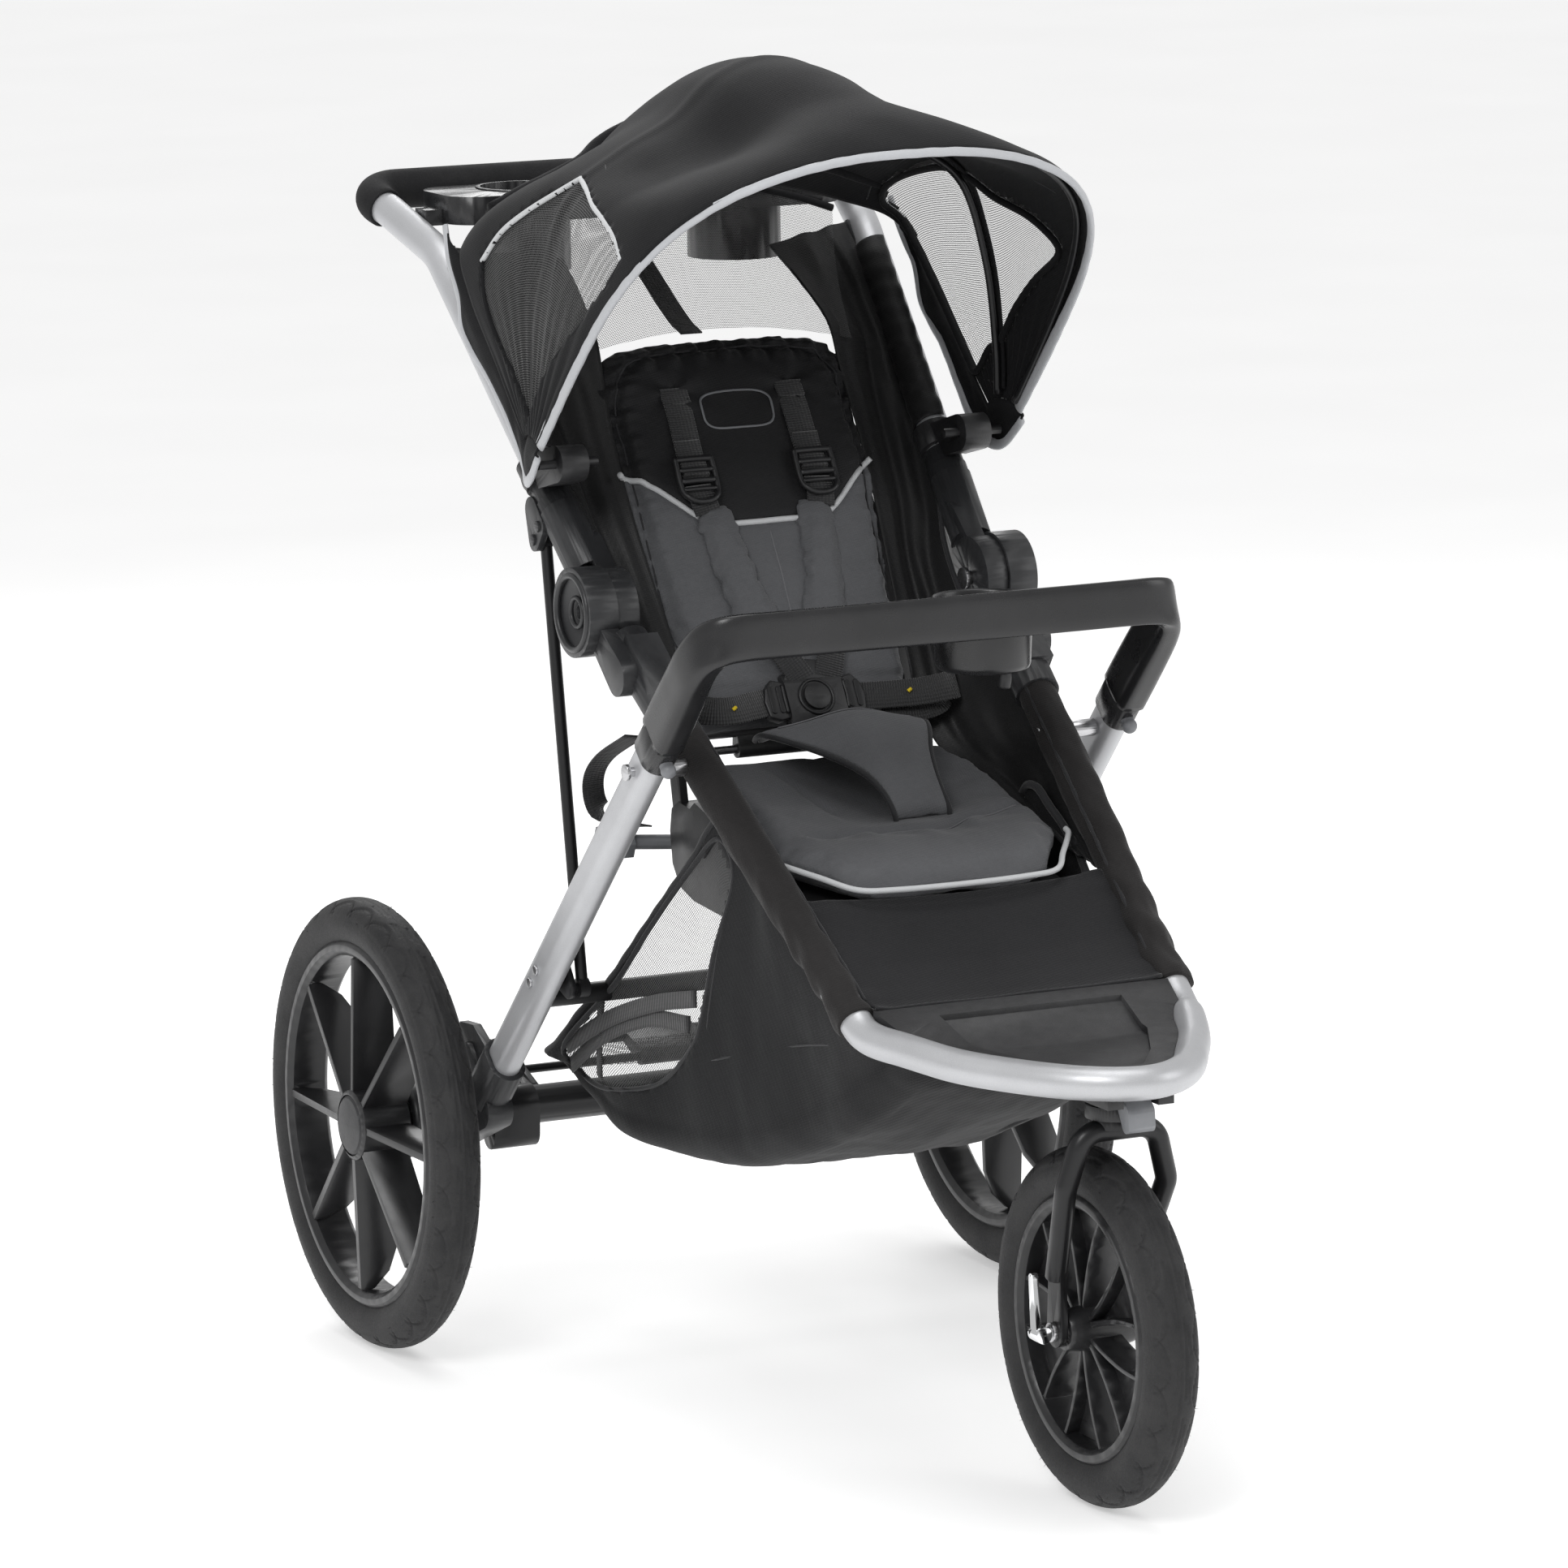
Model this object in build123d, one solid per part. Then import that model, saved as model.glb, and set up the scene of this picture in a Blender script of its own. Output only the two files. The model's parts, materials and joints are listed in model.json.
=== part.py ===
from build123d import *
import math
import os

# Three-wheeled jogging stroller in millimetres. +Z is up, the stroller faces -Y, its sides are
# +X and -X. In piece names "left" means the -X side. The model is laid out with the rear axle at
# y = 0 and the floor at z = 0, and is moved by SHIFT_Y on export to centre its whole box.

SHIFT_Y = 358.5
SIDES = (-1, 1)

# ---- driving dimensions: pairs are (y, z) -------------------------------------------------
REAR_R = 199.5              # rear wheel outer radius
FRONT_R = 148.5             # front wheel outer radius
TYRE_R = 23.0               # tyre section radius
TRACK_X = 310.0             # rear wheel centre plane
FRONT_Y = -768.0            # front axle
SWIVEL_Y = -803.0           # swivel axis
REAR_HUB = (-TRACK_X, 0, REAR_R)
FRONT_HUB = (0, FRONT_Y, FRONT_R)
REAR_AXIS = (0, REAR_R)
FRONT_AXIS = (FRONT_Y, FRONT_R)

HINGE = (-227.0, 677.0)     # main folding hinge
FOOT = (-633.0, 387.0)      # lower end of the straight side tubes
HINGE_X, FOOT_X = 180.0, 146.0
LEG_PIVOT = (-383.0, 566.0)
LINK_TOP = (-135.0, 727.0)
LINK_LOW = (-195.0, 345.0)
LINK_X = 195.0
CANOPY_PIVOT = (-180.0, 798.0)
RECLINE = (-226.0, 546.0)   # seat back hinge rod
BRAKE = (41.0, 222.0)       # brake shaft
LOCK = (-829.0, 351.5)      # pivot of the swivel lock lever

TUBE_R, TUBE_WALL = 14.0, 1.6
HANDLE_TUBE_R = 14.5
HANDLE_BEND = (-207.0, 55.0, 955.0)    # top of the straight left upright, (x, y, z)
FOAM_R = 17.6
LEG_DEPTH, LEG_WIDTH = 36.0, 24.0      # oval leg tube
LEG_TOP = (-397.0, 581.0)              # where the bare leg meets the tray mount
LEG_LOW = (-93.0, 264.0)               # where the bare leg meets the axle bracket
LEG_X_TOP, LEG_X_LOW = 217.0, 225.0

AXLE_R = 5.0
AXLE_HOUSING_R = 17.0
BEARING_R = 9.0
PIN_R = 4.0                 # leg bolts, recline rod, link studs, brake shaft, canopy stubs
HINGE_BOLT_R = 5.9
LOCK_PIN_R = 2.4
RUN = 0.05                  # radial running clearance
LEG_FIT = 0.04              # added to the leg's depth and width in its sockets


# =============================== HELPERS ===================================================
def prism_x(points, x0, x1):
    """A (y, z) outline made solid between two x planes."""
    face = make_face(Polyline(*points, close=True).edges())
    return extrude(Plane.YZ.offset(min(x0, x1)) * face, amount=abs(x1 - x0))


def prism_z(points, z0, z1):
    """An (x, y) outline made solid between two heights."""
    face = make_face(Polyline(*points, close=True).edges())
    return extrude(Plane.XY.offset(z0) * face, amount=z1 - z0)


def cylinder_x(y, z, radius, x0, x1):
    return extrude(Plane.YZ.offset(min(x0, x1)) * Pos(y, z) * Circle(radius), amount=abs(x1 - x0))


def cylinder_z(x, y, radius, z0, z1):
    return extrude(Plane.XY.offset(z0) * Pos(x, y) * Circle(radius), amount=z1 - z0)


def rod(start, end, radius):
    start, end = Vector(*start), Vector(*end)
    return extrude(Plane(origin=start, z_dir=end - start) * Circle(radius),
                   amount=(end - start).length)


def block(x0, x1, y0, y1, z0, z1):
    centre = Pos((x0 + x1) / 2, (y0 + y1) / 2, (z0 + z1) / 2)
    return centre * Box(abs(x1 - x0), abs(y1 - y0), abs(z1 - z0))


def swept(path, radius, bore=0.0):
    section = Circle(radius) - Circle(bore) if bore else Circle(radius)
    return sweep(Plane(origin=path @ 0, z_dir=path % 0) * section, path=path)


def mirrored(shape):
    return mirror(shape, about=Plane.YZ)


def group(*shapes):
    return Compound(children=[Part() + shape for shape in shapes])


def both(shape):
    """The shape and its mirror image as one piece."""
    return group(shape, mirrored(shape))


def symmetric(half):
    """A half outline followed by its mirror image in x; points on x = 0 are not repeated."""
    return half + [(-x, *rest) for x, *rest in half[::-1] if x]


def hull_x(circles, x0, x1):
    """Convex outline round circles given as (y, z, radius), made solid in x."""
    points = []
    for y, z, radius in circles:
        for k in range(24):
            angle = 2 * math.pi * k / 24
            points.append((y + radius * math.cos(angle), z + radius * math.sin(angle)))
    points = sorted(set((round(y, 4), round(z, 4)) for y, z in points))

    def chain(sequence):
        kept = []
        for point in sequence:
            while len(kept) > 1 and (
                (kept[-1][0] - kept[-2][0]) * (point[1] - kept[-2][1])
                - (kept[-1][1] - kept[-2][1]) * (point[0] - kept[-2][0])
            ) <= 0:
                kept.pop()
            kept.append(point)
        return kept[:-1]

    return prism_x(chain(points) + chain(points[::-1]), x0, x1)


def toward(start, end, s):
    """The (y, z) point s along the line from start to end."""
    length = math.dist(start, end)
    return tuple(a + (b - a) * s / length for a, b in zip(start, end))


def ring(points, centre):
    """Revolve a (u, radius) outline round an axis along x; u is along +X from the centre."""
    face = make_face(Polyline(*points, close=True).edges())
    return Pos(*centre) * revolve(Plane.XY * face, axis=Axis.X)


# =============================== LOWER FRAME ===============================================
LOWER_START = 42            # distance from the hinge to the upper end of the tube

# Left half of the bend round the front, (x, y, z), ending on the centre line.
FRONT_BEND = [
    (-FOOT_X, *FOOT), (-133, -680, 376.5), (-111, -730, 370.5), (-82, -780, 368),
    (-44, -834, 368), (0, -856, 368),
]


def lower_point(s, side=-1):
    """Point on the axis of a side tube, s from the hinge."""
    x = HINGE_X + (FOOT_X - HINGE_X) * s / math.dist(HINGE, FOOT)
    return (side * x, *toward(HINGE, FOOT, s))


lower_start = lower_point(LOWER_START)
side_dir = Vector(*FRONT_BEND[0]) - Vector(*lower_start)
front_bend = Spline(
    *symmetric(FRONT_BEND),
    tangents=[side_dir.normalized(), Vector(side_dir.X, -side_dir.Y, -side_dir.Z).normalized()],
)
lower_path = Wire([
    Line(lower_start, FRONT_BEND[0]).edge(),
    front_bend.edge(),
    Line((FOOT_X, *FOOT), lower_point(LOWER_START, 1)).edge(),
])


def lower_tube():
    tube = swept(lower_path, TUBE_R, TUBE_R - TUBE_WALL)
    for side in SIDES:
        tube -= cylinder_x(*LEG_PIVOT, PIN_R, side * 140, side * 200)
    return tube


def lower_hinge():
    """Dished round cover outside, sleeve over the side tube, latch panel on top."""
    cover_out, cover_in = -213.0, -186.5
    cover = cylinder_x(*HINGE, 38.5, cover_out, cover_in)
    cover -= ring([(0, 0), (0, 31), (3, 31), (13, 7), (13, 0)], (cover_out, *HINGE))
    cover += cylinder_x(*HINGE, 7.0, -206, -199)
    sleeve = rod(lower_point(40), lower_point(146), 19.5)
    sleeve -= cylinder_x(*HINGE, 37.5, cover_in, -140)
    web = hull_x([(*toward(HINGE, FOOT, 24), 12), (*toward(HINGE, FOOT, 80), 17)], -203, cover_in)
    down = Vector(0, FOOT[0] - HINGE[0], FOOT[1] - HINGE[1]).normalized()
    outward = Vector(0, down.Z, -down.Y)    # forward and up, across the tube
    body = cover + web + sleeve
    panel_centre = Vector(*lower_point(88)) + outward * 15
    body += Plane(origin=panel_centre, x_dir=down, z_dir=outward) * Box(70, 30, 14)
    body -= rod(lower_point(30), lower_point(300), TUBE_R)
    body -= cylinder_x(*HINGE, 6.0, -230, -120)
    # room for the knuckle of the upper hinge
    body -= cylinder_x(*HINGE, 36.9, -186.4, -140)
    return body


def pivot_bolts():
    """Main hinge bolts and leg pivot shoulder bolts."""
    bolts = []
    for side in SIDES:
        hinge_bolt = cylinder_x(*HINGE, HINGE_BOLT_R, side * 199.5, side * 163)
        hinge_bolt += cylinder_x(*HINGE, 9.5, side * 163.0, side * 159)
        leg_bolt = cylinder_x(*LEG_PIVOT, PIN_R - RUN, side * 234.5, side * 150)
        leg_bolt += cylinder_x(*LEG_PIVOT, 7.0, side * 237.5, side * 234.2)
        leg_bolt += cylinder_x(*LEG_PIVOT, 7.5, side * 204.0, side * 182.5)
        bolts += [hinge_bolt, leg_bolt]
    return group(*bolts)


# Footrest plans are left halves, (x, y); its profiles are (y, z).
FOOTREST_PLAN = [(-136, -640), (-128, -676), (-108, -720), (-82, -764), (-44, -818), (0, -840)]
FOOTREST_PROFILE = [
    (-640, 389), (-700, 369), (-780, 363.5), (-848, 363.5), (-848, 371), (-780, 372),
    (-700, 379), (-640, 400),
]
RECESS_PLAN = [(-84, -656), (-78, -712), (-52, -766), (-24, -806)]
RECESS_PROFILE = [(-652, 391), (-700, 373), (-812, 367), (-812, 376), (-700, 390), (-652, 410)]


def footrest():
    """Moulded plate with a shallow recess, inside the front of the tube."""
    plate = prism_z(symmetric(FOOTREST_PLAN), 340, 410)
    plate = plate & prism_x(FOOTREST_PROFILE, -140, 140)
    recess = prism_x(RECESS_PROFILE, -90, 90)
    plate -= recess & prism_z(symmetric(RECESS_PLAN), 330, 420)
    plate -= swept(lower_path, TUBE_R + 0.3)
    return plate


def swivel_housing():
    """Stepped round housing under the front of the tube, with lugs for the lock lever."""
    housing = cylinder_z(0, SWIVEL_Y, 25, 330.5, 341.5) + cylinder_z(0, SWIVEL_Y, 22, 341.5, 356)
    for side in SIDES:
        housing += block(side * 15.8, side * 30, -846, -795, 346, 361)
    housing += block(-30, 30, -822, -786, 346, 361)
    tube_section = Plane(origin=front_bend @ 0.25, z_dir=front_bend % 0.25) * Circle(TUBE_R + 0.2)
    housing -= sweep(tube_section, path=front_bend.trim(0.25, 0.75))
    housing -= cylinder_z(0, SWIVEL_Y, 8.0, 310, 343.5)
    lugs = Part()
    for side in SIDES:
        lugs += hull_x([(*LOCK, 5), (-815, 344.5, 5)], side * 12.6, side * 16)
        lugs += cylinder_x(*LOCK, LOCK_PIN_R, side * 11.0, side * 13)
    return housing + lugs


def swivel_lock_lever():
    """Round-bottomed tab in front of the swivel housing."""
    lever = hull_x([(*LOCK, 5), (-840, 340.5, 7), (-842, 330.5, 6)], -12, 12)
    for side in SIDES:
        lever -= cylinder_x(*LOCK, LOCK_PIN_R + RUN, side * 10.5, side * 13)
    lever -= cylinder_z(0, SWIVEL_Y, 25.6, 300, 364)
    return lever


# =============================== SEAT PAN AND CLOTH ========================================
# Profiles are (y, z).
PAN_OUTSIDE = [
    (-262, 505), (-272, 512), (-500, 452), (-511, 441), (-502, 432), (-420, 412), (-330, 422),
    (-268, 426), (-240, 434), (-226, 452), (-222, 480), (-226, 500), (-240, 508),
]
PAN_INSIDE = [
    (-262, 500), (-275, 506), (-496, 446), (-500, 438), (-420, 418), (-330, 428), (-268, 431),
    (-244, 438), (-231, 454), (-227, 480), (-232, 496), (-244, 502),
]
CUSHION = [
    (-272, 516.5), (-264, 546), (-300, 538), (-400, 513), (-500, 488), (-528, 478),
    (-538, 466), (-530, 457), (-506, 456.5),
]
CROTCH_STRAP = [
    (-268, 549), (-301, 541), (-372, 523.5), (-379, 529), (-372, 534), (-304, 552),
    (-272, 557.5),
]
SIDE_WING = [
    (-262, 542), (-205, 668), (-150, 748), (-98, 812), (-108, 826), (-165, 760), (-228, 672),
    (-474, 480), (-464, 466),
]
BASKET_OUTSIDE = [
    (-128, 298), (-98, 254), (-110, 216), (-200, 182), (-330, 158), (-450, 186), (-560, 268),
    (-612, 352), (-480, 392), (-330, 388), (-200, 316),
]
BASKET_INSIDE = [
    (-131, 316), (-102, 254), (-113, 219.5), (-201, 185.5), (-330, 161.5), (-448, 189.5),
    (-557, 270), (-604, 346), (-580, 420), (-300, 440),
]
# Guide pins of the fold handle, in the rear of the pan
GUIDE_X, GUIDE_Z, GUIDE_R = 52, 462, 3.0


def seat_pan():
    """Deep moulded pan, rounded underneath at the back."""
    pan = prism_x(PAN_OUTSIDE, -122, 122)
    pan -= prism_x(PAN_INSIDE, -117, 117)
    # lugs that carry the recline rod
    for side in SIDES:
        pan += hull_x([(*RECLINE, 9), (-236, 500, 9)], side * 114, side * 121)
        pan -= cylinder_x(*RECLINE, PIN_R + RUN, side * 100, side * 130)
    # struts from the front of the pan to the side tubes, trimmed by the tubes
    for side in SIDES:
        pan += rod((side * 112, -425, 418.5), (side * 150, -545, 441), 6.5)
        tube_top, tube_end = lower_point(300, side), lower_point(470, side)
        pan -= rod((side * 154, *tube_top[1:]), tube_end, TUBE_R)
        pan -= rod(tube_top, tube_end, TUBE_R)
    for side in SIDES:
        bore = Plane.XZ.offset(240) * Pos(side * GUIDE_X, GUIDE_Z) * Circle(GUIDE_R + RUN)
        pan -= extrude(bore, amount=-30)
    return pan


def fold_handle():
    """Bar behind the pan with two guide pins, and a grip on an arm towards -X."""
    handle = block(-62, 62, -216, -204, 454, 470)
    for side in SIDES:
        x = side * GUIDE_X
        handle += rod((x, -248, GUIDE_Z), (x, -210, GUIDE_Z), GUIDE_R)
    handle += rod((-150, -172, 464), (-56, -209.5, 462), 6.5)
    grip = [(-186, 452), (-156, 452), (-150, 464), (-156, 476), (-186, 476), (-191, 464)]
    handle += prism_x(grip, -162, -140)
    return handle


def seat_cushion():
    """Wedge lying on the pan, with its front corners cut back towards the side tubes."""
    cushion = prism_x(CUSHION, -134, 134)
    for side in SIDES:
        corner = [(140, -470), (140, -560), (92, -560), (92, -537)]
        cushion -= prism_z([(side * x, y) for x, y in corner], 400, 600)
    return cushion


def crotch_strap():
    return prism_x(CROTCH_STRAP, -24, 24)


def side_wings():
    """Flat cloth panels from the side tubes to the seat."""
    return both(prism_x(SIDE_WING, -142.5, -140.5))


def basket():
    """Open-topped cloth bag low between the legs and the foot."""
    return prism_x(BASKET_OUTSIDE, -150, 150) - prism_x(BASKET_INSIDE, -147, 147)


# =============================== REAR LEGS =================================================
LEG_LEN = math.dist(LEG_TOP, LEG_LOW)
leg_up = Vector(0, LEG_TOP[0] - LEG_LOW[0], LEG_TOP[1] - LEG_LOW[1]).normalized()
leg_rear = Vector(0, leg_up.Z, -leg_up.Y)      # rearward and up, across the leg


def leg_point(s):
    """Point on the left leg axis, s up from the axle bracket."""
    x = -(LEG_X_LOW + (LEG_X_TOP - LEG_X_LOW) * s / LEG_LEN)
    return Vector(x, LEG_LOW[0] + leg_up.Y * s, LEG_LOW[1] + leg_up.Z * s)


def leg_oval(s0, s1, depth, width):
    """Oval bar along the left leg axis."""
    start, end = leg_point(s0), leg_point(s1)
    plane = Plane(origin=start, x_dir=leg_rear, z_dir=end - start)
    return extrude(plane * SlotOverall(depth, width), amount=(end - start).length)


def tongue_oval(s0, s1, depth, width):
    """Oval bar along the sliding direction of the child tray, above the leg top."""
    start = leg_point(LEG_LEN + 30) + leg_up * s0
    plane = Plane(origin=start, x_dir=leg_rear, z_dir=leg_up)
    return extrude(plane * SlotOverall(depth, width), amount=s1 - s0)


def leg_tube():
    inner = (LEG_DEPTH - 2 * TUBE_WALL, LEG_WIDTH - 2 * TUBE_WALL)
    tube = leg_oval(-34, LEG_LEN + 26, LEG_DEPTH, LEG_WIDTH)
    tube -= leg_oval(-36, LEG_LEN + 28, *inner)
    tube -= cylinder_x(*LEG_PIVOT, PIN_R, -250, -190)
    return tube


def button_point(distance):
    """Point on the tray button axis, forward of and below the left leg axis."""
    return leg_point(LEG_LEN + 13) - leg_rear * distance


def tray_mounts():
    """Sleeves over the leg tops, each with a tongue for the tray arm."""
    mount = leg_oval(LEG_LEN + 0.3, LEG_LEN + 30, 43, 29) + tongue_oval(-1.5, 54, 34, 20)
    mount -= leg_oval(LEG_LEN - 5, LEG_LEN + 26.2, LEG_DEPTH + LEG_FIT, LEG_WIDTH + LEG_FIT)
    mount -= rod(button_point(16.5), button_point(40), 6.0)
    return both(mount)


def tray_buttons():
    """Domed buttons in the forward faces of the tray mounts."""
    seat = 20.2             # inner end of the button, from the leg axis
    button = rod(button_point(seat), button_point(27), 5.9)
    button = button + Pos(*button_point(26.5)) * Sphere(6.6)
    button -= rod(button_point(5), button_point(seat), 12)
    return both(button)


def axle_bracket():
    """Socket over the leg foot, web and rib, and a barrel round the axle."""
    socket = leg_oval(-52, 2, 46, 33)
    leg_space = leg_oval(-34.4, 10, LEG_DEPTH + LEG_FIT, LEG_WIDTH + LEG_FIT)
    web = hull_x([(-70, 216, 16), (-2, REAR_R, 27), (-40, 262, 10)], -238, -214)
    rib_outline = [(-84, 268), (-46, 288), (-18, 286), (14, 232), (0, 215), (-60, 225)]
    rib = prism_x(rib_outline, -234, -226)
    barrel = cylinder_x(*REAR_AXIS, 34, -284, -236)
    barrel = fillet(barrel.edges().filter_by(GeomType.CIRCLE), 3)
    bracket = socket + web + rib + barrel
    bracket -= leg_space
    bracket -= cylinder_x(*REAR_AXIS, AXLE_R, -300, -200)
    bracket -= cylinder_x(*REAR_AXIS, AXLE_HOUSING_R, -222, -200)
    return bracket


def rear_axle_housing():
    """Tube between the axle brackets, with end webs and ears for the brake shaft."""
    housing = cylinder_x(*REAR_AXIS, AXLE_HOUSING_R, -222, 222)
    for side in SIDES:
        housing += hull_x([(-2, REAR_R, 20), (-8, 178, 13)], side * 204, side * 160)
    housing -= cylinder_x(*REAR_AXIS, 14.5, -250, 250)
    for side in SIDES:
        ear = hull_x([(*BRAKE, 8), (8, 211, 7)], side * 150, side * 156)
        ear -= cylinder_x(*BRAKE, PIN_R + RUN, side * 140, side * 160)
        ear -= cylinder_x(*REAR_AXIS, AXLE_HOUSING_R, -250, 250)
        housing = housing + ear
    return housing


def rear_axle():
    return cylinder_x(*REAR_AXIS, AXLE_R, -331.5, 331.5)


def leg_cross_tube():
    axis, radius = (-157.3, 331), 9
    tube = cylinder_x(*axis, radius, -210.2, 210.2)
    return tube - cylinder_x(*axis, radius - TUBE_WALL, -211, 211)


def link_brackets():
    """Plates on the inner sides of the legs, with studs for the lower link pivots."""
    bracket = hull_x([(*LINK_LOW, 9), (-166, 357, 11), (-176, 372, 9)], -209.6, -204.4)
    bracket -= leg_oval(-30, LEG_LEN, LEG_DEPTH, LEG_WIDTH)
    bracket += cylinder_x(*LINK_LOW, PIN_R, -204.6, -188.5)
    return both(bracket)


def leg_rivets():
    """Two rivet heads on the outer side of each leg."""
    rivets = []
    for side in SIDES:
        for s in (118, 136):
            point = leg_point(s)
            surface = abs(point.X) + LEG_WIDTH / 2
            rivets.append(cylinder_x(point.Y, point.Z, 4.2,
                                     side * (surface + 0.2), side * (surface + 2.0)))
    return group(*rivets)


def link_rods():
    """Rods with an eye at each end, from the legs to the upper hinges."""
    x = -LINK_X
    link = rod((x, *toward(LINK_LOW, LINK_TOP, 6)), (x, *toward(LINK_TOP, LINK_LOW, 6)), 5.2)
    link += cylinder_x(*LINK_LOW, 8.5, x - 4.5, x + 4.5) + cylinder_x(*LINK_TOP, 8.0, x - 4, x + 4)
    for eye in (LINK_LOW, LINK_TOP):
        link -= cylinder_x(*eye, PIN_R + RUN, x - 20, x + 20)
    return both(link)


# =============================== BRAKE =====================================================
def brake_shaft():
    """Shaft behind the axle housing with a pawl at each end."""
    pawl_tip = (BRAKE[0] + 18, BRAKE[1] + 10, 4)
    end_x = 283
    shaft = cylinder_x(*BRAKE, PIN_R, -end_x, end_x)
    for side in SIDES:
        shaft += hull_x([(*BRAKE, 7), pawl_tip], side * 275, side * end_x)
    return shaft


def brake_pedal():
    pedal = hull_x([(*BRAKE, 8), (78, 236, 5)], -34, 34) - cylinder_x(*BRAKE, PIN_R, -50, 50)
    pedal += hull_x([(76, 234, 5), (108, 226, 4)], -48, 48)
    return pedal


# =============================== WHEELS ====================================================
REAR_VALVE, FRONT_VALVE = 112, 242      # valve angles in degrees, from +Y towards +Z

# Half rim sections, (u, radius), from the inner face out to the rim bed.
REAR_RIM = [
    (-15, 149.5), (-19.5, 154), (-19.5, 159), (-17, 162.5), (-13.4, 162.5), (-13.4, 159.9),
    (-8.6, 159.9), (-8, 155),
]
FRONT_RIM = [
    (-15, 99), (-19.5, 103), (-19.5, 108.5), (-17, 111.5), (-13.4, 111.5), (-13.4, 108.9),
    (-8.6, 108.9), (-8, 104.4),
]
# Rear spoke outline, (radius, u).
REAR_SPOKE = [(26, -21), (112, -18), (134, -10), (148, 4), (151, 12), (148, 17.5), (26, 21)]
# Edge of a front petal spoke, (radius, half angle in degrees).
FRONT_PETAL = [(16, 16), (40, 13.5), (70, 15.5), (101, 19)]


def radial_rod(centre, angle, start, end, radius):
    """Rod along a wheel radius between two distances from the centre."""
    x, y, z = centre
    dy, dz = math.cos(math.radians(angle)), math.sin(math.radians(angle))
    return rod((x, y + dy * start, z + dz * start), (x, y + dy * end, z + dz * end), radius)


def rear_rim():
    """Left rim with hub and eight flat spokes; outboard is -X."""
    thickness = 6.4
    hub_outline = [(-24.5, 0), (-24.5, 26), (-21.5, 31), (21.5, 31), (24.5, 27), (24.5, 0)]
    body = ring(symmetric(REAR_RIM), REAR_HUB) + ring(hub_outline, REAR_HUB)
    spoke_face = make_face(Polyline(*REAR_SPOKE, close=True).edges())
    spoke_plane = Plane(origin=(0, 0, -thickness / 2), x_dir=(1, 0, 0), z_dir=(0, 0, 1))
    spoke = extrude(spoke_plane * spoke_face, amount=thickness)
    for k in range(8):
        angle = math.radians(45 * k)
        cos, sin = math.cos(angle), math.sin(angle)
        # local x is the radius, local y is u and local z is the thickness
        plane = Plane(origin=REAR_HUB, x_dir=(0, cos, sin), z_dir=(0, -sin, cos))
        body = body + Location(plane) * spoke
    body -= cylinder_x(*REAR_AXIS, BEARING_R, -TRACK_X - 22, -TRACK_X + 30)
    # recess for the hub cap
    body -= ring([(-30, 0), (-30, 27.2), (-21.8, 27.2), (-21.8, 0)], REAR_HUB)
    body -= radial_rod(REAR_HUB, REAR_VALVE, 140, 160, 3.3)
    return body


def front_rim():
    """Rim with hub and six petal spokes: two bowed ribs and a thin web between them."""
    rib_width, rib_depth, web_depth = 4.2, 28, 4
    hub_outline = [(-31, 0), (-31, 16), (-18, 18.5), (18, 18.5), (31, 16), (31, 0)]
    body = ring(symmetric(FRONT_RIM), FRONT_HUB) + ring(hub_outline, FRONT_HUB)
    outer = [(r * math.cos(math.radians(a)), r * math.sin(math.radians(a)))
             for r, a in FRONT_PETAL]
    inner = [(x, y - rib_width) for x, y in outer]
    opposite = [(x, -y) for x, y in outer]
    outer_edge = Spline(*outer)
    rib_face = make_face([
        outer_edge.edge(),
        Line(outer[-1], inner[-1]).edge(),
        Spline(*inner[::-1]).edge(),
        Line(inner[0], outer[0]).edge(),
    ])
    rib = extrude(Plane.XY.offset(-rib_depth / 2) * rib_face, amount=rib_depth)
    web_face = make_face([
        outer_edge.edge(),
        Line(outer[-1], opposite[-1]).edge(),
        Spline(*opposite[::-1]).edge(),
        Line(opposite[0], outer[0]).edge(),
    ])
    web = extrude(Plane.XY.offset(-web_depth / 2) * web_face, amount=web_depth)
    petal = rib + mirror(rib, about=Plane.XZ) + web
    for k in range(6):
        angle = math.radians(90 + 60 * k)
        x_dir = (0, math.cos(angle), math.sin(angle))
        body = body + Location(Plane(origin=FRONT_HUB, x_dir=x_dir, z_dir=(1, 0, 0))) * petal
    body -= cylinder_x(*FRONT_AXIS, BEARING_R, -40, 40)
    body -= radial_rod(FRONT_HUB, FRONT_VALVE, 90, 109, 3.3)
    return body


def hollow_torus(major, outer, inner, centre):
    section = Circle(outer) - Circle(inner)
    return Pos(*centre) * revolve(Plane.XY * Pos(0, major) * section, axis=Axis.X)


def tyre(centre):
    """Tyre standing on the floor, open towards the rim and trimmed to fit its bed."""
    x, y, z = centre
    major = z - TYRE_R
    inner, bead = major - 30, major - 13.9
    body = hollow_torus(major, TYRE_R, 18.4, centre)
    body -= cylinder_x(y, z, major - 16.5, x - 40, x + 40)
    for side in SIDES:
        near, far = side * 13.36, side * 30
        body -= ring([(near, inner), (near, bead), (far, bead), (far, inner)], centre)
    return body


def inner_tube(centre, valve_angle):
    major = centre[2] - TYRE_R
    stem = radial_rod(centre, valve_angle, major - 17.2, major - 51, 2.6)
    return hollow_torus(major, 17.8, 16.8, centre) + stem


def bearing(centre, u0, u1):
    bore = AXLE_R + RUN
    return ring([(u0, bore), (u0, BEARING_R), (u1, BEARING_R), (u1, bore)], centre)


def rear_hub_cap():
    outline = [(-24.6, 0), (-24.6, 24), (-22.0, 27.0), (-21.9, 27.0), (-21.9, 0)]
    return ring(outline, REAR_HUB)


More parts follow.
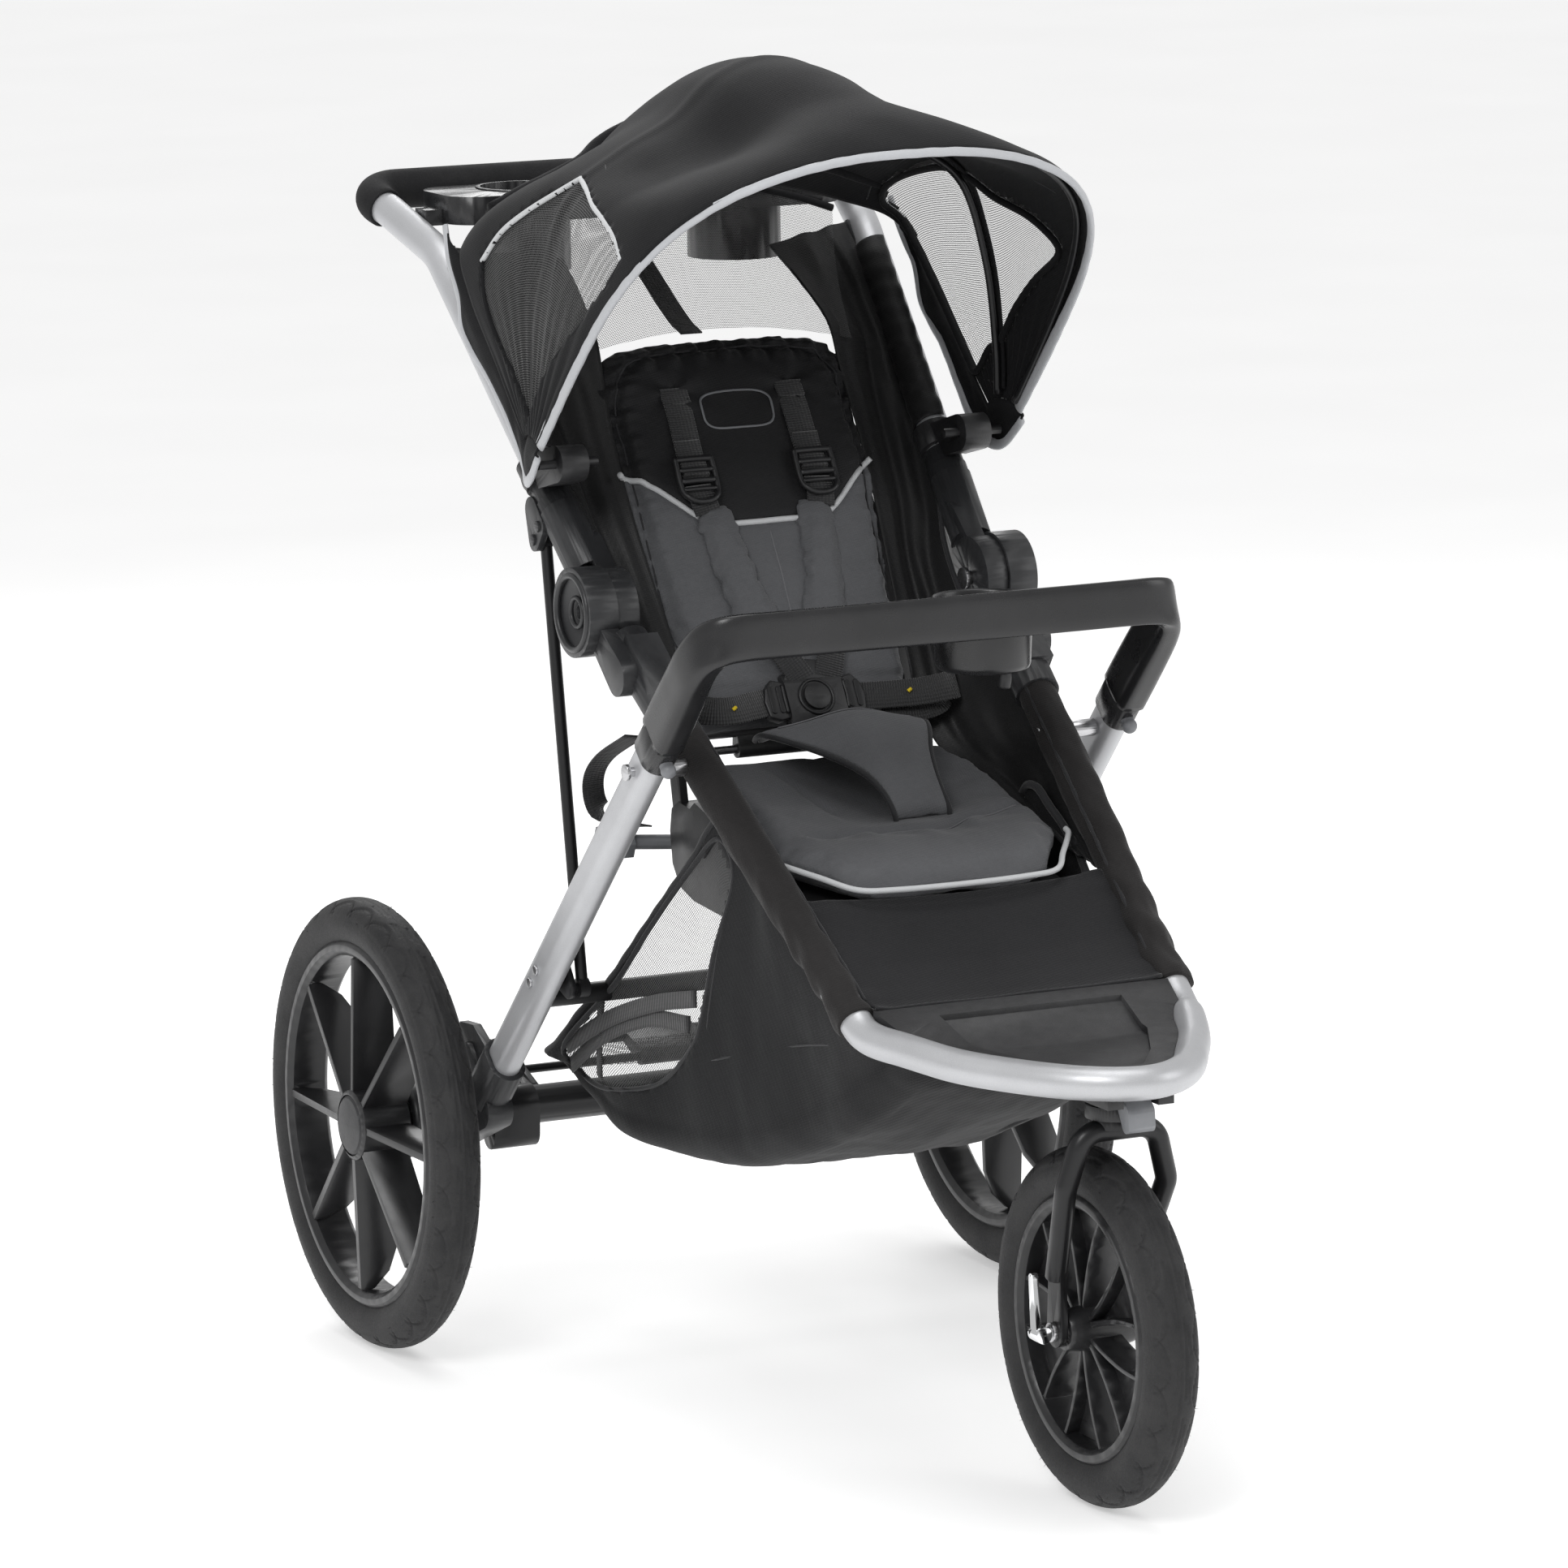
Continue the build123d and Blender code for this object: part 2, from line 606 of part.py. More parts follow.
# =============================== FORK ======================================================
def front_fork():
    """Arched tube with flat tips, and a flanged swivel pin on top."""
    fork_top = FRONT_R + 46
    left = [(-37, FRONT_Y, fork_top), (-46, SWIVEL_Y, 274), (-33, -808, 321)]
    fork = swept(FilletPolyline(*symmetric(left), radius=[18, 20, 20, 18]), 9.0)
    for side in SIDES:
        tip = [(*FRONT_AXIS, 13), (FRONT_Y - 1, FRONT_R + 52, 10)]
        fork = fork + hull_x(tip, side * 33, side * 39)
    fork += cylinder_z(0, SWIVEL_Y, 7.95, 319.5, 342.5) + cylinder_z(0, SWIVEL_Y, 22, 322.5, 330.2)
    for side in SIDES:
        fork -= cylinder_x(*FRONT_AXIS, AXLE_R, side * 20, side * 60)
    return fork


def front_axle():
    head_r = 8
    axle = cylinder_x(*FRONT_AXIS, AXLE_R, -44.5, 46)
    axle += cylinder_x(*FRONT_AXIS, head_r, 39.1, 50)
    axle += cylinder_x(*FRONT_AXIS, head_r, -43, -39.1)
    return axle


def quick_release_lever():
    """Round cam lying along y at the -X end of the axle, with an upright arm."""
    cam_length = 16
    cam_plane = Plane.XZ.offset(cam_length / 2 - FRONT_Y)
    lever = extrude(cam_plane * Pos(-52.0, FRONT_R) * Circle(7.0), amount=-cam_length)
    lever += hull_x([(FRONT_Y, FRONT_R + 3, 5), (FRONT_Y + 4, FRONT_R + 46, 4)], -58, -53)
    return lever


# =============================== UPPER FRAME ===============================================
def upper_point(s):
    """Point on the axis of the left upright, s from the hinge in side view."""
    step = Vector(*HANDLE_BEND) - Vector(-HINGE_X, *HINGE)
    length = math.hypot(step.Y, step.Z)
    return (-HINGE_X + step.X * s / length, HINGE[0] + step.Y * s / length,
            HINGE[1] + step.Z * s / length)


HANDLE_CORNER = (-233, 176, 1000.5)
handle_path = FilletPolyline(
    *symmetric([upper_point(42), HANDLE_BEND, (-222, 130, 987), HANDLE_CORNER]),
    radius=[60, 20, 30, 30, 20, 60],
)
grip_path = FilletPolyline(*symmetric([(-223.2, 135, 988.5), HANDLE_CORNER]), radius=[30, 30])


def handle_tube():
    return swept(handle_path, HANDLE_TUBE_R, HANDLE_TUBE_R - TUBE_WALL)


def foam_grip():
    return swept(grip_path, FOAM_R) - handle_tube() - swept(handle_path, HANDLE_TUBE_R - 1)


def upper_hinge():
    """Knuckle inside the lower cover, stepped sleeve on the upright, flange for the link."""
    knuckle_out = -185.5
    flange_out = -206.4
    knuckle = cylinder_x(*HINGE, 36.0, knuckle_out, -166)
    sleeve = rod(upper_point(40), upper_point(134), 18.5)
    collar = rod(upper_point(118), upper_point(136), 16.4)
    arm = hull_x([(*HINGE, 22), (*upper_point(62)[1:], 17)], knuckle_out, -168)
    # room for the cover of the lower hinge
    sleeve -= cylinder_x(*HINGE, 39.2, -230, -185.9)
    flange = hull_x([(*LINK_TOP, 10), (-145, 740, 10), (-130, 752, 12)], flange_out, -200.4)
    body = knuckle + arm + (sleeve - rod(upper_point(108), upper_point(150), 30)) + collar
    body += rod(upper_point(106), upper_point(119), 17.5)
    body = body + flange
    body -= rod(upper_point(38), upper_point(300), HANDLE_TUBE_R + 0.03)
    body -= cylinder_x(*HINGE, HINGE_BOLT_R + RUN, -220, -150)
    # rivet heads on the outside of the flange
    for y, z in (LINK_TOP, (-145, 740)):
        body += cylinder_x(y, z, 5.0, -208.6, flange_out)
    return body


def canopy_mounts():
    """Clamps round the uprights, each with an arm and a stub at the canopy pivot."""
    mount = rod(upper_point(138), upper_point(162), 19.5)
    mount += hull_x([(*upper_point(150)[1:], 15), (*CANOPY_PIVOT, 16)], -205, -180)
    mount -= rod(upper_point(100), upper_point(200), HANDLE_TUBE_R + 0.03)
    mount -= rod(upper_point(90), upper_point(137.2), 19.2)
    mount += cylinder_x(*CANOPY_PIVOT, PIN_R, -221, -166)
    return both(mount)


def parent_tray():
    """Tray between the uprights, with a middle recess and two cup wells."""
    top = 1003.0
    cup_r, cup_wall = 38.0, 4
    cup_x, cup_y = 103.0, 108.0
    tray = block(-190, 190, 52, 152, 978, top)
    tray = fillet(tray.edges().filter_by(Axis.Z), 30)
    tray -= fillet(block(-52, 52, 64, 140, 982, 1010).edges().filter_by(Axis.Z), 14)
    for side in SIDES:
        tray += cylinder_z(side * cup_x, cup_y, cup_r + cup_wall, 930, top + 1.5)
    for side in SIDES:
        tray -= cylinder_z(side * cup_x, cup_y, cup_r, 935, 1020)
    # end lugs that reach the handle tube
    for side in SIDES:
        tray += block(side * 186, side * 205, 88, 112, 976, 990)
    tray -= swept(handle_path, HANDLE_TUBE_R)
    tray -= swept(grip_path, FOAM_R + 0.4)
    return tray


# =============================== CANOPY ====================================================
# Arches in planes turned round the pivot line. Key: angle in degrees from +Y towards +Z.
# Points are one half of the arch: (x, distance from the pivot line).
ARCH = {
    43.0: [(0, 345), (70, 336), (140, 312), (190, 284), (214, 250), (219, 190), (220, 100),
           (221, 30)],
    68.0: [(0, 340), (55, 334), (105, 314), (155, 280), (198, 235), (217, 170), (224, 90),
           (225, 28)],
    93.0: [(0, 337), (50, 331), (100, 311), (147, 277), (192, 225), (217, 150), (226, 75),
           (227, 26)],
    115.0: [(0, 362), (58, 357), (112, 338), (158, 305), (198, 255), (220, 180), (228, 95),
            (228, 28)],
    135.5: [(0, 398), (60, 394), (118, 376), (168, 342), (203, 290), (222, 220), (228, 130),
            (229, 30)],
}
FABRIC = 3.0                # fabric thickness


def arch_points(theta, inset):
    """Whole arch outline at a tabled angle, moved inward by inset."""
    half = ARCH[theta]
    points = [(-x, r) for x, r in half[::-1]] + half[1:]
    moved = []
    for i, (x, r) in enumerate(points):
        x0, r0 = points[max(i - 1, 0)]
        x1, r1 = points[min(i + 1, len(points) - 1)]
        dx, dr = x1 - x0, r1 - r0
        length = math.hypot(dx, dr)
        moved.append((x + dr / length * inset, r - dx / length * inset))
    return moved


def arch_face(theta):
    """Section of the fabric in the plane of one arch."""
    angle = math.radians(theta)
    plane = Plane(origin=(0, *CANOPY_PIVOT), x_dir=(1, 0, 0),
                  z_dir=(0, math.sin(angle), -math.cos(angle)))
    # the plane's y points in towards the pivot line, so distances are negative
    outer = [(x, -r) for x, r in arch_points(theta, 0)]
    inner = [(x, -r) for x, r in arch_points(theta, FABRIC)]
    return plane * make_face([
        Spline(*outer).edge(),
        Line(outer[-1], inner[-1]).edge(),
        Spline(*inner[::-1]).edge(),
        Line(inner[0], outer[0]).edge(),
    ])


def canopy_fabric():
    return loft([arch_face(theta) for theta in sorted(ARCH)])


def canopy_bow(theta, inset, rod_r, foot_x, foot_r, reach, eye_r, eye_in, eye_out):
    """Wire bow between two tabled arches, with an eye on each pivot stub.

    The bow starts at (foot_x, foot_r) and follows the arch where it is beyond reach.
    """
    angle = math.radians(theta)
    cos, sin = math.cos(angle), math.sin(angle)
    low = max(k for k in ARCH if k <= theta)
    high = min(k for k in ARCH if k >= theta)
    weight = (theta - low) / (high - low)
    points = [((1 - weight) * a[0] + weight * b[0], (1 - weight) * a[1] + weight * b[1])
              for a, b in zip(arch_points(low, inset), arch_points(high, inset))]
    points = [point for point in points if point[1] > reach]
    points = [(-foot_x, foot_r)] + points + [(foot_x, foot_r)]
    outward = Vector(0, cos, sin)
    path = Spline(
        *[(x, CANOPY_PIVOT[0] + r * cos, CANOPY_PIVOT[1] + r * sin) for x, r in points],
        tangents=[outward, -outward],
    )
    bow = swept(path, rod_r)
    for side in SIDES:
        bow += cylinder_x(*CANOPY_PIVOT, eye_r, side * eye_out, side * eye_in)
    for side in SIDES:
        bow -= cylinder_x(*CANOPY_PIVOT, PIN_R + RUN, side * (eye_out + 5), side * (eye_in - 9))
    return bow


def canopy_front_bow():
    return canopy_bow(theta=133.5, inset=9.0, rod_r=3.4, foot_x=214.5, foot_r=12.0, reach=60,
                      eye_r=14, eye_in=209, eye_out=220)


def canopy_middle_bow():
    return canopy_bow(theta=96.0, inset=10.0, rod_r=3.0, foot_x=174.0, foot_r=10.0, reach=110,
                      eye_r=12, eye_in=169, eye_out=178.5)


# =============================== SEAT BACK =================================================
back_up = Vector(0, 201, 336).normalized()
back_front = Vector(0, -back_up.Z, back_up.Y)       # out of the front face
BACK_ORIGIN = Vector(0, -259, 560)

# Outlines are (distance up the back, distance out of its front face).
BACK_BOARD = [(14, -27), (14, -31), (362, -31), (362, -27)]
BACK_PAD = [(16, -26), (12, -20), (12, -4), (30, 0), (350, 0), (366, -6), (366, -26)]
SHOULDER_STRAP = [(90, 3), (206, 3), (206, 12), (90, 17)]
BUCKLE = [(2, 5), (50, 5), (50, 15), (40, 19), (12, 19), (2, 15)]


def back_point(up, out):
    point = BACK_ORIGIN + back_up * up + back_front * out
    return (point.Y, point.Z)


def back_prism(outline, x0, x1):
    return prism_x([back_point(up, out) for up, out in outline], x0, x1)


def seat_back_board():
    board = back_prism(BACK_BOARD, -126, 126)
    knuckle = hull_x([(*RECLINE, 8), (*back_point(24, -29), 2)], -60, 60)
    return (board + knuckle) - cylinder_x(*RECLINE, PIN_R + RUN, -70, 70)


def seat_back_pad():
    return back_prism(BACK_PAD, -128, 128)


def shoulder_straps():
    return group(*[back_prism(SHOULDER_STRAP, side * 24, side * 74) for side in SIDES])


def seat_hinge_rod():
    return cylinder_x(*RECLINE, PIN_R, -126, 126)


buckle_plane = Plane(origin=(0, *back_point(26, 15)), x_dir=(1, 0, 0), z_dir=back_front)


def harness_buckle():
    return back_prism(BUCKLE, -27, 27) - extrude(buckle_plane * Circle(12.0), amount=10)


def buckle_button():
    return extrude(buckle_plane.offset(3.2) * Circle(11.9), amount=3.6)


# =============================== CHILD TRAY ================================================
TRAY_TOP, TRAY_BOTTOM = 714.0, 675.0
TRAY_X = 231                # outer faces of the arms

# Arm and front band profiles, (y, z).
TRAY_ARM = [
    (-524, TRAY_TOP), (-491, TRAY_TOP), (-404, 622), (-408, 607), (-430, 585), (-444, 599),
    (-517, TRAY_BOTTOM), (-524, TRAY_BOTTOM),
]
BAND_PROFILE = [
    (-530, 760), (-488, 760), (-488, TRAY_TOP - 4), (-478, 700), (-466, 640), (-530, 640),
]
# Half plans on the -X side, (x, y).
BAND_OUTSIDE = [(-TRAY_X, -430), (-TRAY_X, -490), (-223, -509), (-209, -520), (-190, -524)]
BAND_INSIDE = [(-212, -440), (-212, -500), (-196, -517)]
TRAY_FLOOR = [(-150, -440), (-206, -452), (-206, -500), (-192, -519)]


def child_tray():
    """Two arms over the mount tongues, a band round the front, a floor and a cup well."""
    cup_x, cup_y, cup_r = 70.0, -470.0, 40.0
    tray = Part()
    for side in SIDES:
        tray += prism_x(TRAY_ARM, side * 204, side * TRAY_X)
    band = prism_z(symmetric(BAND_OUTSIDE), TRAY_BOTTOM, TRAY_TOP)
    band = band - prism_z(symmetric(BAND_INSIDE), 560, 740)
    band = band & prism_x(BAND_PROFILE, -240, 240)
    # round the front corners of the arms to the plan of the band
    corner_plan = [(-260, -540), (-180, -540), *BAND_OUTSIDE[::-1], (-260, -430)]
    corner = prism_z(corner_plan, 560, 760)
    tray = tray - corner - mirrored(corner)
    tray += band
    tray += prism_z(symmetric(TRAY_FLOOR), 680, 684)
    tray += cylinder_z(cup_x, cup_y, cup_r + 3.5, 640, TRAY_TOP - 1)
    tray -= cylinder_z(cup_x, cup_y, cup_r, 644, 740)
    slot = tongue_oval(-4, 54.5, 34.6, 20.6)
    tray -= slot
    tray -= mirrored(slot)
    # trim everything below the seam on the mounts
    seam = leg_point(LEG_LEN + 30.6)
    seam_plane = Plane(origin=Vector(0, seam.Y, seam.Z), x_dir=(1, 0, 0), z_dir=leg_up)
    tray -= seam_plane * Pos(0, 0, -60) * Box(700, 160, 120)
    return tray


# =============================== EXPORT ====================================================
# Pieces named after the function that builds them.
SINGLE_PIECES = [
    lower_tube, pivot_bolts, footrest, swivel_housing, seat_pan, seat_cushion, crotch_strap,
    side_wings, basket, fold_handle, tray_mounts, tray_buttons, rear_axle_housing, rear_axle,
    leg_cross_tube, link_brackets, leg_rivets, brake_shaft, brake_pedal, link_rods, front_rim,
    front_fork, front_axle, quick_release_lever, swivel_lock_lever, handle_tube, foam_grip,
    canopy_mounts, parent_tray, canopy_fabric, canopy_front_bow, canopy_middle_bow,
    seat_back_board, seat_back_pad, shoulder_straps, seat_hinge_rod, harness_buckle,
    buckle_button, child_tray,
]
# Left-hand pieces, each also written as its mirror image.
PAIRED_PIECES = [lower_hinge, leg_tube, axle_bracket, rear_rim, rear_hub_cap, upper_hinge]

pieces = {build.__name__: build() for build in SINGLE_PIECES}
pieces["front_tyre"] = tyre(FRONT_HUB)
pieces["front_inner_tube"] = inner_tube(FRONT_HUB, FRONT_VALVE)
pieces["front_bearings"] = group(bearing(FRONT_HUB, -30.5, -20), bearing(FRONT_HUB, 20, 30.5))

pairs = {build.__name__: build() for build in PAIRED_PIECES}
pairs["rear_tyre"] = tyre(REAR_HUB)
pairs["rear_inner_tube"] = inner_tube(REAR_HUB, REAR_VALVE)
for name, shape in pairs.items():
    pieces[f"{name}_left"] = shape
    pieces[f"{name}_right"] = mirrored(shape)

rear_bearings = [bearing(REAR_HUB, -21.6, -13), bearing(REAR_HUB, 14, 24.4)]
pieces["rear_bearings_left"] = group(*rear_bearings)
pieces["rear_bearings_right"] = group(*[mirrored(shape) for shape in rear_bearings])

os.makedirs("parts", exist_ok=True)
for name, shape in pieces.items():
    solids = shape.solids()
    body = Compound(children=list(solids)) if len(solids) > 1 else solids[0]
    placed = Pos(0, SHIFT_Y, 0) * body
    placed.label = name
    export_step(placed, f"parts/{name}.step")
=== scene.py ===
"""A three-wheeled pushchair: canopy, padded seat with harness, basket, tyres and child tray.

Pieces are laid out in mm: x across (left is -x), y from the rear axle with the front
towards -y, and z up from the floor. point() turns a layout place into the frame's metres.
"""
import bpy
import bmesh
import json
import random
import numpy as np
from functools import cache
from math import copysign, cos, degrees, atan2, exp, hypot, pi, radians, sin
from mathutils import Matrix, Vector, noise
from mathutils.bvhtree import BVHTree
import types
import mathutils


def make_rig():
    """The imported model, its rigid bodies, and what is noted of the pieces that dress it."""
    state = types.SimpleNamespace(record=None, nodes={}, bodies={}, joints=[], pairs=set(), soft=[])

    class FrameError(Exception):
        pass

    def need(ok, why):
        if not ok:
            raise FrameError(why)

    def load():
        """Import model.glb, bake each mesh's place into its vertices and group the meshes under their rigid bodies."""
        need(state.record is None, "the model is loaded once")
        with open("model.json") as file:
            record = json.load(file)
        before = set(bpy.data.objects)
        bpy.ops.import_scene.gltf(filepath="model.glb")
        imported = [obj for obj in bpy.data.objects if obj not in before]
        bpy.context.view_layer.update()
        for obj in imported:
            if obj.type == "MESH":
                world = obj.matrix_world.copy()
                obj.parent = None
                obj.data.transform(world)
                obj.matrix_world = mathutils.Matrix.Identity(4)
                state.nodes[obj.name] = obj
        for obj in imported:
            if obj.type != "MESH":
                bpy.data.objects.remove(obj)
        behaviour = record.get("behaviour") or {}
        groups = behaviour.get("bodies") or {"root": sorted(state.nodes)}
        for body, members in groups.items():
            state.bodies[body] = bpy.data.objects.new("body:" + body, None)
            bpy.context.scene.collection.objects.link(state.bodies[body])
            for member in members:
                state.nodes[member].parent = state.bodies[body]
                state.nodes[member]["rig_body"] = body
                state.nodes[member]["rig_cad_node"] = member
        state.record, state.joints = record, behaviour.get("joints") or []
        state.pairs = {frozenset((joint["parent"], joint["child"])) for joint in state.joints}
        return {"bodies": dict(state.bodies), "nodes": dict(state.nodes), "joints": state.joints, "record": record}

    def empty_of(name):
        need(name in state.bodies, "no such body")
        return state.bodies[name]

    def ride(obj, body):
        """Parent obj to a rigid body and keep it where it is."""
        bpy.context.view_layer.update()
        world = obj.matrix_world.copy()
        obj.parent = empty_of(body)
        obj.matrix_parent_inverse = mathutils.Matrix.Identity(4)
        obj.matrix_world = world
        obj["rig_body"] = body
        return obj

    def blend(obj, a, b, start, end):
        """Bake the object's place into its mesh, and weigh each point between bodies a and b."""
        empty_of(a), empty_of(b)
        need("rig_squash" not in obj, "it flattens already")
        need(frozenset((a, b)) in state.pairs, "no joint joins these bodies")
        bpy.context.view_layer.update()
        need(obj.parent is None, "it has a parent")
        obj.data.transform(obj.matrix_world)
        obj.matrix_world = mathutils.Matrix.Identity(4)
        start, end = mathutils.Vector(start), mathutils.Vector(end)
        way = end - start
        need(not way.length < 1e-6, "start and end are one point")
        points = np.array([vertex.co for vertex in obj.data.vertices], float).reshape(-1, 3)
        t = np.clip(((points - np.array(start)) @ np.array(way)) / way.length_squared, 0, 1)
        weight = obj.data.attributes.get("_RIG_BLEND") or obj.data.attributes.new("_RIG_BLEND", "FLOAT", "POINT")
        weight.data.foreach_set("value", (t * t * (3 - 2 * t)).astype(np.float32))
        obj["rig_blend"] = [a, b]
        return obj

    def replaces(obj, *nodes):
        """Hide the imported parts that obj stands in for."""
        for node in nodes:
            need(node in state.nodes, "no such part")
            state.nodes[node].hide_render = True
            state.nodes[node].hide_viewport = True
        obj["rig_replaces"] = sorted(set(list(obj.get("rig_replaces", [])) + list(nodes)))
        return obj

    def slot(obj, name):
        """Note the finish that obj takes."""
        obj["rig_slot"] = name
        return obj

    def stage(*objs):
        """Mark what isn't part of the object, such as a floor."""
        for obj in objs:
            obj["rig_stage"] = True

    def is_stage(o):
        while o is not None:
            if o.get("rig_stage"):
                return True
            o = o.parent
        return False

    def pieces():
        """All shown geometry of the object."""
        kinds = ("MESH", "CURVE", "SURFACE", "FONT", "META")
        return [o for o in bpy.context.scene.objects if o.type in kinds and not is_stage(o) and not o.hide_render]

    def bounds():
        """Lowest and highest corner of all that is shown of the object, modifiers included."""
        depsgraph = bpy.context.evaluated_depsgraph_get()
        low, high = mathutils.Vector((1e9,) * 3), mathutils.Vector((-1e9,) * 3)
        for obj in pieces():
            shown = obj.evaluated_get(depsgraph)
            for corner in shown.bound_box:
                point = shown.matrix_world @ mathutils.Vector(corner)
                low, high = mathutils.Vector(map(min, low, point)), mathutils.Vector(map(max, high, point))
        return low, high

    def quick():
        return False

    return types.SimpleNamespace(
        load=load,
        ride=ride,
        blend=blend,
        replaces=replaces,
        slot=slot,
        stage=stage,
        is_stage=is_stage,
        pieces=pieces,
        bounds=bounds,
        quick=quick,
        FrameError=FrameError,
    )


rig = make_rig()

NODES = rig.load()["nodes"]
CAD_BOX = [list(corner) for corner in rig.bounds()]
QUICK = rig.quick()

AXLE_Y = 0.3585  # rear axle in the frame, metres
SIDES = ((-1, "left"), (1, "right"))


# ---- numbers and curves ----
def point(x, y, z):
    """Layout mm to the frame's metres."""
    return Vector((x / 1000.0, y / 1000.0 + AXLE_Y, z / 1000.0))


def layout(place):
    """The frame's metres back to layout mm."""
    return place.x * 1000, (place.y - AXLE_Y) * 1000, place.z * 1000


def lerp(start, end, part):
    return start + (end - start) * part


def smooth(low, high, x):
    part = min(1.0, max(0.0, (x - low) / (high - low)))
    return part * part * (3 - 2 * part)


def gauss(x, width):
    return exp(-(x / width) ** 2)


def noise3(x, y, z):
    return noise.noise(Vector((x, y, z)))


def steps(count):
    """0 to 1 in equal steps, both ends included."""
    return [k / count for k in range(count + 1)]


def spread(reach, count):
    """-reach to reach in equal steps, both ends included."""
    return [-reach + 2 * reach * k / count for k in range(count + 1)]


def angles(count):
    return [2 * pi * k / count for k in range(count)]


def mirrored(half):
    """Rows from one side to x 0, continued with their mirror images."""
    return half + [(-x, *rest) for x, *rest in half[-2::-1]]


def span(count, u):
    """Index of the row before u (0..1 over count rows) and the part of the way to the next."""
    place = u * (count - 1)
    i = min(int(place), count - 2)
    return i, place - i


def catmull_rom(before, start, end, after, part):
    return 0.5 * ((2 * start) + (end - before) * part
                  + (2 * before - 5 * start + 4 * end - after) * part * part
                  + (3 * start - before - 3 * end + after) * part ** 3)


def between(rows, i, part):
    """Spline between rows i and i + 1, the end rows doubled."""
    return catmull_rom(rows[max(i - 1, 0)], rows[i], rows[i + 1],
                       rows[min(i + 2, len(rows) - 1)], part)


def station(rows, u):
    return between(rows, *span(len(rows), u))


def arrays(rows):
    return [np.array(row, float) for row in rows]


def catmull(points, per, closed=False):
    """Spline through the points with per samples a span."""
    points = [Vector(p) for p in points]
    count = len(points)
    curve = []
    for i in range(count if closed else count - 1):
        start, end = points[i], points[(i + 1) % count]
        if closed:
            before, after = points[i - 1], points[(i + 2) % count]
        else:
            before = points[i - 1] if i else start * 2 - end
            after = points[i + 2] if i + 2 < count else end * 2 - start
        curve += [catmull_rom(before, start, end, after, k / per) for k in range(per)]
    if not closed:
        curve.append(points[-1].copy())
    return curve


def inside(x, y, outline):
    """Whether (x, y) lies in a closed outline, by counting crossings."""
    crossed = False
    for i, (x1, y1) in enumerate(outline):
        x2, y2 = outline[i - 1]
        if (y1 > y) != (y2 > y) and x < (x2 - x1) * (y - y1) / (y2 - y1) + x1:
            crossed = not crossed
    return crossed


def near(x, y, outline, reach_x, reach_y):
    """Whether (x, y), or a place one reach off it along an axis, is inside."""
    shifts = ((0, 0), (reach_x, 0), (-reach_x, 0), (0, reach_y), (0, -reach_y))
    return any(inside(x + dx, y + dy, outline) for dx, dy in shifts)


# =============================== MATERIALS ================================================
MATERIALS = {}
DUST = (0.16, 0.155, 0.15)


class Shader:
    """Short calls that add nodes to one tree and feed its surface node."""

    def __init__(self, tree, surface):
        self.tree = tree
        self.surface = surface

    def feed(self, node, inputs):
        """Link sockets and set plain values; colours are given without alpha."""
        for key, value in inputs.items():
            socket = node.inputs[key]
            if isinstance(value, bpy.types.NodeSocket):
                self.tree.links.new(value, socket)
            elif socket.type == "RGBA":
                socket.default_value = (*value, 1)
            else:
                socket.default_value = value

    def finish(self, inputs):
        self.feed(self.surface, inputs)

    def add(self, kind, inputs, **settings):
        node = self.tree.nodes.new("ShaderNode" + kind)
        for key, value in settings.items():
            setattr(node, key, value)
        self.feed(node, inputs)
        return node

    def coords(self, scale=(1, 1, 1), rotation=(0, 0, 0)):
        place = self.add("TexCoord", {}).outputs["Object"]
        inputs = {"Vector": place, "Scale": scale, "Rotation": rotation}
        return self.add("Mapping", inputs).outputs["Vector"]

    def math(self, operation, first, second):
        return self.add("Math", {0: first, 1: second}, operation=operation).outputs[0]

    def weigh(self, first, first_weight, second, second_weight):
        return self.math("ADD", self.math("MULTIPLY", first, first_weight),
                         self.math("MULTIPLY", second, second_weight))

    def mix(self, factor, first, second):
        # sockets 0, 6 and 7 are the factor and the two colours; output 2 is the colour
        node = self.add("Mix", {}, data_type="RGBA")
        self.feed(node, {0: factor, 6: first, 7: second})
        return node.outputs[2]

    def remap(self, value, span, out=(0.0, 1.0)):
        inputs = {"Value": value, "From Min": span[0], "From Max": span[1],
                  "To Min": out[0], "To Max": out[1]}
        return self.add("MapRange", inputs).outputs["Result"]

    def noise(self, coords, scale, detail=3.0, rough=0.55):
        inputs = {"Vector": coords, "Scale": scale, "Detail": detail, "Roughness": rough}
        return self.add("TexNoise", inputs).outputs["Fac"]

    def wave(self, coords, scale, axis, distortion=0.0):
        inputs = {"Vector": coords, "Scale": scale, "Distortion": distortion, "Detail": 1.0}
        return self.add("TexWave", inputs, bands_direction=axis).outputs["Fac"]

    def bump(self, height, strength, depth, under=None):
        inputs = {"Height": height, "Strength": strength, "Distance": depth}
        if under is not None:
            inputs["Normal"] = under
        normal = self.add("Bump", inputs).outputs["Normal"]
        self.finish({"Normal": normal})
        return normal


def new_material(name):
    material = bpy.data.materials.new(name)
    material.use_nodes = True
    MATERIALS[name] = material
    tree = material.node_tree
    return Shader(tree, tree.nodes["Principled BSDF"])


def shade(colour, factor, lift=0.0):
    return tuple(min(1, c * factor + lift) for c in colour)


